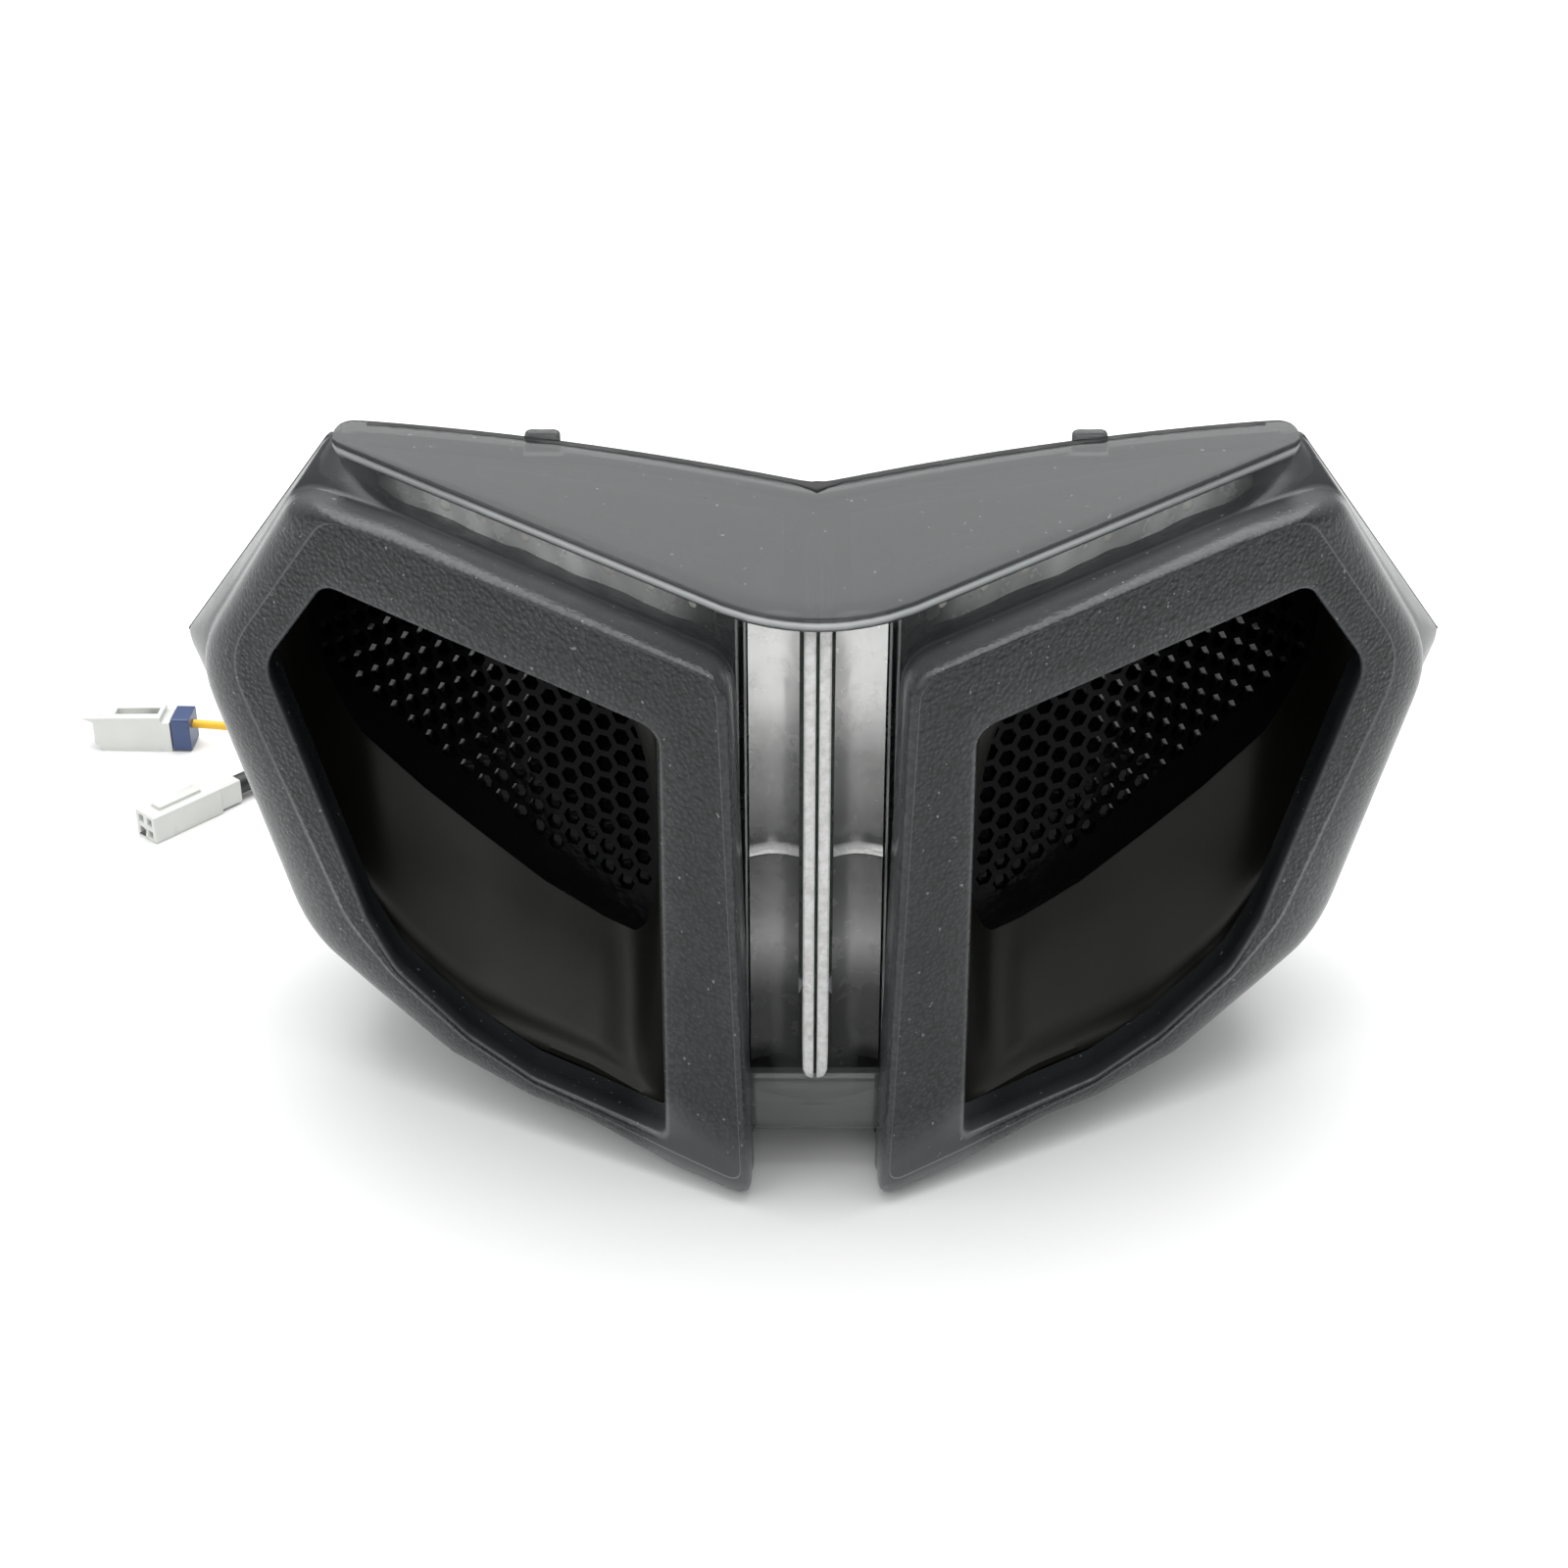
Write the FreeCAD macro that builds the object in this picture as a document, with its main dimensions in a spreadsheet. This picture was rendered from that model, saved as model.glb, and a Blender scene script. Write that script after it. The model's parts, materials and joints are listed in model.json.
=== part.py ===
import FreeCAD, Part
import math
import os
from types import SimpleNamespace

import Sketcher
from FreeCAD import Placement, Rotation, Vector

# Smoked LED tail light for a motorcycle, in millimetres: X to the right, Z up, the lens
# faces -Y.  Everything is drawn with Y = 0 near the tips of the two window frames, then
# moved back by half the depth so that the origin is under the middle of the lamp.

SIZES = {
    # the two window frames: flat faces swept back from a common apex line
    "sweep": 28.0,
    "apex_y": -6.0,
    "half_width": 115.6,
    "flange_flare": 4.8,
    "crown_z": 116.9,
    "side_z": 84.0,
    "foot_z": 11.4,
    "roll_back": 5.5,
    "brow_back": 9.5,
    "flange_back": 17.0,
    "wall": 2.4,
    "bar_top": 14.3,
    "bar_outer": 11.0,
    "bar_inner": 15.8,
    "tunnel": 4.0,
    # the top plate
    "plate_rise": 0.25,
    "plate_z": 112.0,
    "plate_thickness": 2.5,
    "plate_sweep": 31.5,
    "plate_front_y": -0.9,
    "nose_radius": 30.0,
    "far_centre_y": 38.7,
    "far_end_y": 56.0,
    "plate_end_x": 81.3,
    # the centre column
    "column_y": 6.3,
    "column_foot_z": 19.5,
    "lip_z": 8.2,
    "lip_back": 5.5,
    # the rear housing
    "rear_y": 98.0,
    "boss_length": 6.0,
    "shell": 2.4,
    "roof_fall": 0.85,
    "gasket": 1.0,
    "gap": 0.3,
    "lug_x": 46.0,
    "lug_y": 88.0,
    "lug_width": 20.0,
    "lug_top": 14.0,
    "pad_thickness": 2.0,
    "pad_radius": 8.0,
    "pad_bore": 3.6,
    "foot_insert_outer": 4.2,
    "foot_insert_bore": 3.0,
    "foot_insert_length": 9.0,
    "insert_x": 15.0,
    "insert_z": 62.0,
    "insert_outer": 3.4,
    "insert_bore": 2.5,
    "insert_length": 8.0,
    # the air ducts and their grilles
    "duct_back": 9.5,
    "grille_back": 38.0,
    "duct_wall": 1.6,
    "grille_thickness": 6.0,
    "cell_pitch": 4.3,
    "cell_wall": 1.2,
    # the lights
    "guide_width": 5.2,
    "guide_depth": 6.0,
    "board_thickness": 1.6,
    "led_radius": 1.5,
    "led_height": 3.4,
    "cup_radius": 2.2,
    "cup_depth": 3.4,
    "tray_drop": 9.0,
    # the leads
    "sleeve_diameter": 4.6,
    "wire_diameter": 2.0,
    "pin_pitch": 3.0,
    "connector_length": 18.0,
    "connector_height": 7.4,
    "retainer_length": 4.6,
    "screw_head": 2.8,
    "screw_head_height": 1.8,
    "screw_shank": 1.3,
    "screw_length": 7.0,
    "cover_width": 46.0,
    "cover_height": 36.0,
    "cover_thickness": 2.4,
    "cover_z": 37.0,
    "cover_lap": 4.5,
    "driver_margin": 12.0,
    "driver_standoff": 3.5,
    "spacer_radius": 2.2,
    "column_board_width": 19.0,
    "column_board_height": 72.0,
    "column_board_z": 66.5,
    "grommet_x": -5.0,
    "grommet_radius": 9.0,
    "grommet_neck": 6.5,
    "vent_edge": 10.0,
    "lamp_window_width": 18.0,
    "lamp_window_length": 24.0,
    "lamp_window_y": 58.0,
    "lamp_board_z": 17.4,
    "vent_radius": 4.6,
}

doc = FreeCAD.newDocument("tail_light")
sheet = doc.addObject("Spreadsheet::Sheet", "sizes")
for row, (name, value) in enumerate(SIZES.items(), 1):
    sheet.set(f"A{row}", name)
    sheet.set(f"B{row}", str(value))
    sheet.setAlias(f"B{row}", name)
doc.recompute()
size = SimpleNamespace(**{name: float(sheet.get(name)) for name in SIZES})

SWEEP = math.tan(math.radians(size.sweep))
MIRROR = (Vector(0, 0, 0), Vector(1, 0, 0))
TIP_X = 10.6
REAR_END = size.rear_y + size.boss_length
FRONT_END = size.apex_y + TIP_X * SWEEP
TO_CENTRE = Vector(0, -(FRONT_END + REAR_END) / 2, 0)
GUIDE_FRONT = size.column_y + size.wall + size.gap + 0.2
CHANNEL_X = 11.2
CHANNEL_FRONT = size.apex_y + size.brow_back + CHANNEL_X * SWEEP + size.wall + size.gap
CHANNEL_DEEP = 21.0
CHANNEL_WALL = 1.4
COLUMN_BOARD_Y = CHANNEL_DEEP + CHANNEL_WALL + size.gap
HOOK_X, HOOK_Y = 46.0, 49.6
parts = {}


# ---------------------------------------------------------------- drawing helpers
def part(label, shape):
    """A sub-part with a shape of its own, moved to the centred frame."""
    made = doc.addObject("Part::Feature", label)
    made.Label = label
    made.Shape = shape
    made.Placement = Placement(TO_CENTRE, Rotation()).multiply(made.Placement)
    parts[label] = made
    return made


def placed(label, made, position, rotation=None):
    """A parametric sub-part, set where it belongs in the centred frame."""
    made.Label = label
    made.Placement = Placement(position + TO_CENTRE, rotation or Rotation())
    parts[label] = made
    return made


def mirrored(shape):
    return shape.mirror(*MIRROR)


def fused(shapes):
    whole = shapes[0]
    for shape in shapes[1:]:
        whole = whole.fuse(shape)
    return whole.removeSplitter()


def swept(points, back):
    """Points (x, z) on the plane parallel to the right frame face, back mm behind it."""
    return [Vector(x, size.apex_y + x * SWEEP + back, z) for x, z in points]


def loop(corners, radii=None):
    """A closed wire through corners in space, each rounded by its own radius."""
    count = len(corners)
    radii = radii or [0] * count
    joints = []
    for i, corner in enumerate(corners):
        to_last = (corners[i - 1] - corner).normalize()
        to_next = (corners[(i + 1) % count] - corner).normalize()
        if radii[i] == 0:
            joints.append((corner, None, corner))
            continue
        half = to_last.getAngle(to_next) / 2
        reach = radii[i] / math.tan(half)
        centre = corner + (to_last + to_next).normalize() * (radii[i] / math.sin(half))
        middle = centre + (corner - centre).normalize() * radii[i]
        joints.append((corner + to_last * reach, middle, corner + to_next * reach))
    edges = []
    for i, (start, middle, end) in enumerate(joints):
        if middle is not None:
            edges.append(Part.Arc(start, middle, end).toShape())
        edges.append(Part.LineSegment(end, joints[(i + 1) % count][0]).toShape())
    return Part.Wire(edges)


def ruled(wires):
    return Part.makeLoft(wires, True, True)


def prism(corners, direction):
    return Part.Face(Part.makePolygon(corners + corners[:1])).extrude(direction)


def plan_prism(points, low, high):
    return prism([Vector(x, y, low) for x, y in points], Vector(0, 0, high - low))


def side_prism(points, half_width):
    """A profile (y, z) carried across the lamp from -half_width to half_width."""
    corners = [Vector(-half_width, y, z) for y, z in points]
    return prism(corners, Vector(2 * half_width, 0, 0))


def box(low, high):
    return Part.makeBox(*(high - low), low)


def rod(start, end, radius):
    return Part.makeCylinder(radius, (end - start).Length, start, end - start)


def inset(points, distance):
    """The outline (x, z) with each side moved inwards by distance."""
    count = len(points)
    area = sum(points[i - 1][0] * points[i][1] - points[i][0] * points[i - 1][1] for i in range(count))
    turn = 1 if area > 0 else -1
    sides = []
    for i in range(count):
        (x0, z0), (x1, z1) = points[i], points[(i + 1) % count]
        length = math.hypot(x1 - x0, z1 - z0)
        along = ((x1 - x0) / length, (z1 - z0) / length)
        inwards = (-along[1] * turn, along[0] * turn)
        sides.append(((x0 + inwards[0] * distance, z0 + inwards[1] * distance), along))
    found = []
    for i in range(count):
        (p, a), (q, b) = sides[i - 1], sides[i]
        cross = a[0] * b[1] - a[1] * b[0]
        step = ((q[0] - p[0]) * b[1] - (q[1] - p[1]) * b[0]) / cross
        found.append((p[0] + a[0] * step, p[1] + a[1] * step))
    return found


# ---------------------------------------------------------------- outlines, right side, as (x, z)
SIDE_X = size.half_width - size.flange_flare
CROWN_X = 84.0
HIP = (86.0, 33.0)
RIM_MID = (62.0, 16.2)
NOTCH_IN = (40.0, 9.6)

FACE = [
    (14.0, size.crown_z - 14.1),
    (70.0, size.crown_z - 2.5),
    (CROWN_X, size.crown_z),
    (SIDE_X - 3.8, size.side_z),
    HIP,
    (76.0, 25.6),
    RIM_MID,
    (50.5, size.foot_z),
    NOTCH_IN,
    (25.0, 7.0),
    (TIP_X, 4.8),
]
ROLL = [
    (13.6, size.crown_z - 13.1),
    (70.0, size.crown_z - 1.8),
    (CROWN_X + 3.4, size.crown_z + 0.2),
    (SIDE_X, size.side_z - 4.0),
    (HIP[0] + 8.2, HIP[1] - 6.2),
    (83.0, 19.8),
    (67.3, 10.2),
    (51.4, size.foot_z - 5.2),
    (42.5, 6.2),
    (24.6, 1.3),
    (11.0, 0.0),
]
FLANGE = [
    (13.6, size.crown_z - 12.3),
    (72.0, size.crown_z - 0.6),
    (size.plate_end_x, size.plate_z + size.plate_rise * 54.2 - 0.1),
    (size.half_width, size.side_z - 6.6),
    (HIP[0] + 9.4, HIP[1] - 8.0),
    (84.0, 18.0),
    (68.0, 9.0),
    (52.0, size.foot_z - 5.6),
    (42.5, 5.6),
    (25.0, 2.6),
    (11.0, 3.2),
]
FACE_RADII = [0, 0, 4.0, 11.0, 16.0, 0, 0, 0, 0, 0, 0]
ROLL_RADII = [0, 0, 6.0, 13.0, 18.0, 0, 0, 0, 0, 0, 0]
FLANGE_RADII = [0, 0, 3.0, 7.0, 16.0, 0, 0, 0, 0, 0, 0]

WINDOW_TOP_Z = size.crown_z - size.bar_top
WINDOW_IN_X = TIP_X + size.bar_inner - 0.7
WINDOW_SIDE_X = SIDE_X - 3.8 - size.bar_outer
WINDOW = [
    (WINDOW_IN_X, WINDOW_TOP_Z - 11.3),
    (CROWN_X - 1.0, WINDOW_TOP_Z),
    (WINDOW_SIDE_X, size.side_z),
    (HIP[0] - 5.4, HIP[1] + 3.1),
    (75.5, 27.4),
    (62.3, 17.9),
    (50.2, size.foot_z + 1.6),
    (40.0, 11.8),
    (WINDOW_IN_X + 0.7, 9.9),
]
WINDOW_RADII = [4.0, 2.5, 4.0, 6.0, 0, 0, 0, 0, 0]

DUCT_MOUTH = [
    (WINDOW_IN_X + 0.6, WINDOW_TOP_Z - 10.2),
    (CROWN_X + 0.6, WINDOW_TOP_Z + 2.4),
    (WINDOW_SIDE_X + 2.2, size.side_z + 0.5),
    (HIP[0] - 3.0, HIP[1] - 2.0),
    (71.5, 21.7),
    (61.0, 15.0),
    (52.0, 14.6),
    (40.4, 13.4),
    (WINDOW_IN_X + 1.2, 9.4),
]
DUCT_SEAT = [
    (WINDOW_IN_X + 1.6, 90.0),
    (86.0, 99.0),
    (97.6, 72.4),
    (85.5, 65.0),
    (73.7, 57.0),
    (64.2, 51.6),
    (49.3, 42.1),
    (38.2, 37.2),
    (WINDOW_IN_X + 1.6, 35.4),
]
DUCT_OUTLET = [
    (30.0, 74.0),
    (64.0, 80.0),
    (74.0, 66.0),
    (70.0, 58.0),
    (63.0, 50.0),
    (56.0, 44.0),
    (48.0, 39.0),
    (39.0, 36.0),
    (30.0, 35.0),
]
MOUTH_RADII = [4.0, 4.0, 5.0, 8.0, 0, 0, 0, 0, 2.0]


def plate_height(y):
    return size.plate_z + size.plate_rise * y


def under_plane(points, below, half_width=200.0):
    """A block under the plane through two (y, z) points, carried across the lamp."""
    (y0, z0), (y1, z1) = points
    return side_prism([(y0, z0 - below), (y1, z1 - below), (y1, -300.0), (y0, -300.0)], half_width)


# ---------------------------------------------------------------- smoked lens
def column_skin(front, thickness, half_width, low, high):
    """The bowed face of the centre column, tangent to the swept faces where it is wide enough."""
    recess = front - (size.apex_y + size.brow_back)
    radius = recess / (1 / math.cos(math.radians(size.sweep)) - 1)
    reach = min(radius * math.sin(math.radians(size.sweep)), half_width)
    reach_y = front + radius - math.sqrt(radius ** 2 - reach ** 2)
    left, right = Vector(-reach, reach_y, low), Vector(reach, reach_y, low)
    front_edges = [Part.Arc(left, Vector(0, front, low), right).toShape()]
    if reach < half_width:
        side_y = size.apex_y + size.brow_back + half_width * SWEEP
        bow_left, bow_right = left, right
        left, right = Vector(-half_width, side_y, low), Vector(half_width, side_y, low)
        front_edges.append(Part.LineSegment(left, bow_left).toShape())
        front_edges.append(Part.LineSegment(bow_right, right).toShape())
    shift = Vector(0, thickness, 0)
    back_edges = [edge.translated(shift) for edge in front_edges]
    ends = [Part.LineSegment(point, point + shift).toShape() for point in (left, right)]
    edges = Part.__sortEdges__(front_edges + back_edges + ends)
    return Part.Face(Part.Wire(edges)).extrude(Vector(0, 0, high - low))


def plate_outline():
    """The plate in plan: a boomerang with a rounded nose and a gently bowed far edge."""
    slope = math.tan(math.radians(size.plate_sweep))
    reach = size.nose_radius * math.sin(math.radians(size.plate_sweep))
    recess = size.nose_radius * (1 / math.cos(math.radians(size.plate_sweep)) - 1)
    nose = [
        Vector(-reach, size.plate_front_y + reach * slope, 0),
        Vector(0, size.plate_front_y + recess, 0),
        Vector(reach, size.plate_front_y + reach * slope, 0),
    ]
    near_x = size.plate_end_x - 1.3
    near = Vector(near_x, size.plate_front_y + near_x * slope, 0)
    far = Vector(size.plate_end_x, size.far_end_y, 0)
    far_middle = Vector(size.plate_end_x * 0.46, size.far_centre_y + 10.2, 0)
    centre = Vector(0, size.far_centre_y, 0)
    flip = Vector(-1, 1, 1)
    left = [Vector(v.x * flip.x, v.y, v.z) for v in (near, far, far_middle)]
    edges = [
        Part.Arc(*nose).toShape(),
        Part.LineSegment(nose[2], near).toShape(),
        Part.LineSegment(near, far).toShape(),
        Part.Arc(far, far_middle, centre).toShape(),
        Part.Arc(centre, left[2], left[1]).toShape(),
        Part.LineSegment(left[1], left[0]).toShape(),
        Part.LineSegment(left[0], nose[0]).toShape(),
    ]
    return Part.Wire(edges)


def plate_slab(top_drop, bottom_drop, outline=None):
    """The part of a plan outline between two levels below the plate's top face."""
    column = Part.Face(outline or plate_outline()).extrude(Vector(0, 0, 60))
    column.translate(Vector(0, 0, 90))
    span = (-40.0, 120.0)
    top = [(y, plate_height(y) - top_drop) for y in span]
    bottom = [(y, plate_height(y) - bottom_drop) for y in reversed(span)]
    return column.common(side_prism(top + bottom, 150.0))


def lens_wing():
    """One window frame with its rolled outer edge, its flange and its brow face."""
    outer = ruled([
        loop(swept(FACE, 0), FACE_RADII),
        loop(swept(ROLL, size.roll_back), ROLL_RADII),
        loop(swept(FLANGE, size.flange_back), FLANGE_RADII),
    ])
    inner = ruled([
        loop(swept(inset(FACE, size.wall), size.wall)),
        loop(swept(inset(ROLL, size.wall), size.roll_back)),
        loop(swept(inset(FLANGE, size.wall), size.flange_back + 1)),
    ])
    tube = ruled([
        loop(swept(inset(WINDOW, -size.wall), -1)),
        loop(swept(inset(WINDOW, -size.wall), size.tunnel)),
    ])
    hole = ruled([
        loop(swept(WINDOW, -5), WINDOW_RADII),
        loop(swept(WINDOW, size.flange_back + 5), WINDOW_RADII),
    ])
    brow = prism(
        swept([
            (13.0, size.crown_z - 15.0),
            (70.0, size.crown_z - 3.2),
            (CROWN_X, size.crown_z + 0.8),
            (size.plate_end_x, size.plate_z + 11.3),
            (13.0, size.plate_z + 2.4),
        ], size.brow_back),
        Vector(0, size.wall, 0),
    )
    shell = outer.cut(inner.cut(tube)).cut(hole)
    open_back = prism(
        swept([(15.5, size.crown_z - 11.6), (69.0, size.crown_z), (69.0, 104.0), (15.5, 94.0)],
              size.brow_back + size.wall),
        Vector(0, 20, 0),
    )
    return shell.cut(open_back).fuse(brow)


def smoked_lens():
    column_top = plate_height(size.column_y) - 0.4
    column = column_skin(size.column_y, size.wall, 13.9, size.column_foot_z, column_top)
    lip = column_skin(size.column_y + size.lip_back, size.wall, 12.4, size.lip_z, size.column_foot_z + 1.2)
    lip_top = column_skin(size.column_y, size.lip_back + size.wall, 13.9,
                          size.column_foot_z, size.column_foot_z + 1.6)
    plate = plate_slab(0, size.plate_thickness)
    hooks = [box(Vector(x - 3, y, plate_height(y) - 6.4), Vector(x + 3, y + 1.6, plate_height(y) + 1.4))
             for x, y in ((-HOOK_X, HOOK_Y), (HOOK_X, HOOK_Y))]
    wing = lens_wing()
    return fused([wing, mirrored(wing), column, lip, lip_top, plate] + hooks)


# ---------------------------------------------------------------- rear housing
REAR = [
    (0, 140.0),
    (55.0, 140.0),
    (94.0, 72.0),
    (84.0, 32.0),
    (73.0, 19.0),
    (61.0, 11.0),
    (48.0, 8.0),
    (38.0, 8.0),
    (24.0, 8.4),
    (13.0, 9.0),
    (12.4, 9.6),
    (0, 9.6),
]


def housing_front():
    crown, side = FLANGE[2], FLANGE[3]
    lean = (side[0] - crown[0]) / (crown[1] - side[1])
    return [(0, 140.0), (crown[0] - (140.0 - crown[1]) * lean, 140.0), side] + FLANGE[4:10] + [
        (11.0, 3.4),
        (10.4, 9.6),
        (0, 9.6),
    ]


def roof(drop):
    """Everything under the roof, which falls backwards from the plate's far edge."""
    far_rise = plate_height(size.far_end_y) - plate_height(size.far_centre_y)
    run = size.far_end_y - size.far_centre_y
    lean = (far_rise + size.roof_fall * run) / size.plate_end_x
    ridge = plate_height(size.far_centre_y) - size.plate_thickness - drop
    corners = []
    for x in (0.0, 160.0):
        for y in (-60.0, 160.0):
            corners.append(Vector(x, y, ridge - size.roof_fall * (y - size.far_centre_y) + lean * x))
    near_in, far_in, near_out, far_out = corners
    base = [Vector(v.x, v.y, -60.0) for v in (near_in, far_in, far_out, near_out)]
    top = [near_in, far_in, far_out, near_out]
    return ruled([Part.makePolygon(base + base[:1]), Part.makePolygon(top + top[:1])])


def duct_tube(grow, front, rear):
    """The space of one duct, its walls moved outwards by grow."""
    mouth = inset(DUCT_MOUTH, -grow) if grow else DUCT_MOUTH
    seat = inset(DUCT_SEAT, -grow) if grow else DUCT_SEAT
    outlet = inset(DUCT_OUTLET, -grow) if grow else DUCT_OUTLET
    outlet_wire = loop([Vector(x, rear, z) for x, z in outlet])
    return ruled([loop(swept(mouth, front)), loop(swept(seat, size.grille_back)), outlet_wire])


def housing_half():
    start = size.flange_back + size.gasket
    front = housing_front()
    outer = ruled([loop(swept(front, start)), loop([Vector(x, size.rear_y, z) for x, z in REAR])])
    room_front = [(-5.0, 150.0)] + inset(front, size.shell)[1:-1] + [(-5.0, 9.6 + size.shell)]
    room_rear = [(-5.0, 150.0)] + inset(REAR, size.shell)[1:-1] + [(-5.0, 9.6 + size.shell)]
    room = ruled([
        loop(swept(room_front, start - 4)),
        loop([Vector(x, size.rear_y - size.shell, z) for x, z in room_rear]),
    ])
    plate_under = size.plate_thickness + size.gasket
    plane = [(y, plate_height(y) - plate_under) for y in (-60.0, 160.0)]
    body = outer.common(roof(0)).common(under_plane(plane, 0))
    room = room.common(roof(size.shell * 1.3))
    half_space = box(Vector(0, -100, -100), Vector(200, 200, 300))
    tube = duct_tube(size.duct_wall + size.gap, size.duct_back, size.rear_y + 0.01)
    return body.cut(room.common(half_space)).cut(tube)


def lug(x):
    """A foot under the housing with a blind upright bore for a threaded insert."""
    half = size.lug_width / 2
    low, tall = size.pad_thickness, size.lug_top - size.pad_thickness
    block = box(Vector(x - half, size.lug_y - half, low), Vector(x + half, size.lug_y + half, size.lug_top))
    uprights = [e for e in block.Edges if abs(e.BoundBox.ZLength - tall) < 0.01]
    block = block.makeFillet(3.0, uprights)
    front = size.lug_y - half
    web = box(Vector(x - 1.5, front - 18, 4), Vector(x + 1.5, front + 1, size.lug_top))
    bore = rod(Vector(x, size.lug_y, 0), Vector(x, size.lug_y, low + size.foot_insert_length),
               size.foot_insert_outer)
    return fused([block, web]), bore


def rear_housing():
    half = housing_half()
    shapes = [half, mirrored(half)]
    opening_x = size.cover_width / 2 - size.cover_lap
    opening_z = size.cover_height / 2 - size.cover_lap
    bores = [box(Vector(-opening_x, size.rear_y - 10, size.cover_z - opening_z),
                 Vector(opening_x, size.rear_y + 10, size.cover_z + opening_z))]
    bores.append(box(Vector(-6.5, 0, 0), Vector(6.5, size.column_y + size.lip_back + size.wall + 0.6, 12.6)))
    half_window = size.lamp_window_width / 2
    bores.append(box(Vector(-half_window, size.lamp_window_y - size.lamp_window_length / 2, 0),
                     Vector(half_window, size.lamp_window_y + size.lamp_window_length / 2, 15)))
    for x, z in cover_screw_places():
        bores.append(rod(Vector(x, size.rear_y - size.shell - 1, z), Vector(x, size.rear_y + 1, z),
                         size.screw_shank))
    post = box(Vector(-8.0, COLUMN_BOARD_Y + size.board_thickness, size.shell + 8.0),
               Vector(8.0, COLUMN_BOARD_Y + size.board_thickness + 6.0, size.column_board_z - 30.0))
    shapes.append(post)
    for x, z in column_screw_places():
        bores.append(rod(Vector(x, COLUMN_BOARD_Y, z), Vector(x, COLUMN_BOARD_Y + size.screw_length, z),
                         size.screw_shank))
    for x in (-size.lug_x, size.lug_x):
        block, bore = lug(x)
        shapes.append(block)
        bores.append(bore)
    boss_radius = size.insert_outer + size.shell
    for x in (-size.insert_x, size.insert_x):
        shapes.append(rod(Vector(x, size.rear_y - size.shell - 4, size.insert_z),
                          Vector(x, REAR_END, size.insert_z), boss_radius))
        bores.append(rod(Vector(x, REAR_END - size.insert_length, size.insert_z),
                         Vector(x, REAR_END + 1, size.insert_z), size.insert_outer))
    for x in (-HOOK_X, HOOK_X):
        low, high = Vector(x - 3.4, HOOK_Y - size.gap, 90), Vector(x + 3.4, HOOK_Y + 1.6 + size.gap, 150)
        bores.append(box(low, high))
    whole = fused(shapes)
    for bore in bores:
        whole = whole.cut(bore)
    return whole


# ---------------------------------------------------------------- seals, ducts and grilles
def flange_gasket():
    """The seal between the lens flange and the housing, down the side and under the frame."""
    ring = prism(swept(inset(FLANGE, 0.4), size.flange_back), Vector(0, size.gasket, 0))
    ring = ring.cut(prism(swept(inset(FLANGE, size.wall - 0.3), size.flange_back - 1), Vector(0, 5, 0)))
    top = [(5.0, 98.0), (5.0, 135.0), (95.0, 140.0), (95.0, 118.0), (76.0, 108.0)]
    column = [(0.0, -5.0), (0.0, 120.0), (14.5, 120.0), (14.5, -5.0)]
    for open_side in (top, column):
        ring = ring.cut(prism(swept(open_side, size.flange_back - 1), Vector(0, 5, 0)))
    return ring


def plate_gasket():
    """The seal along the far edge, under the plate, with a lump at the middle."""
    top, bottom = size.plate_thickness, size.plate_thickness + size.gasket
    strip = plate_slab(top, bottom)
    step = strip.translated(Vector(0, -2.6, -2.6 * size.plate_rise))
    ends = plan_prism([(-79.0, 50.0), (79.0, 50.0), (79.0, 70.0), (-79.0, 70.0)], 80, 150)
    middle = plan_prism([(-79.0, 30.0), (79.0, 30.0), (79.0, 50.0), (-79.0, 50.0)], 80, 150)
    strip = strip.cut(step).common(ends.fuse(middle))
    hook_room = [box(Vector(x - 3.4, HOOK_Y - 0.6, 90), Vector(x + 3.4, HOOK_Y + 2.4, 140))
                 for x in (-HOOK_X, HOOK_X)]
    for room in hook_room:
        strip = strip.cut(room)
    return strip


def duct(front_gap=0.0):
    outside = duct_tube(size.duct_wall, size.duct_back + front_gap, size.rear_y)
    return outside.cut(duct_tube(0, size.duct_back - 0.01, size.rear_y + 0.01))


def inside(points, x, z):
    """Whether (x, z) is inside an outline."""
    crossings = 0
    for i in range(len(points)):
        (x0, z0), (x1, z1) = points[i - 1], points[i]
        if (z0 > z) != (z1 > z) and x < x0 + (z - z0) * (x1 - x0) / (z1 - z0):
            crossings += 1
    return crossings % 2 == 1


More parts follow.
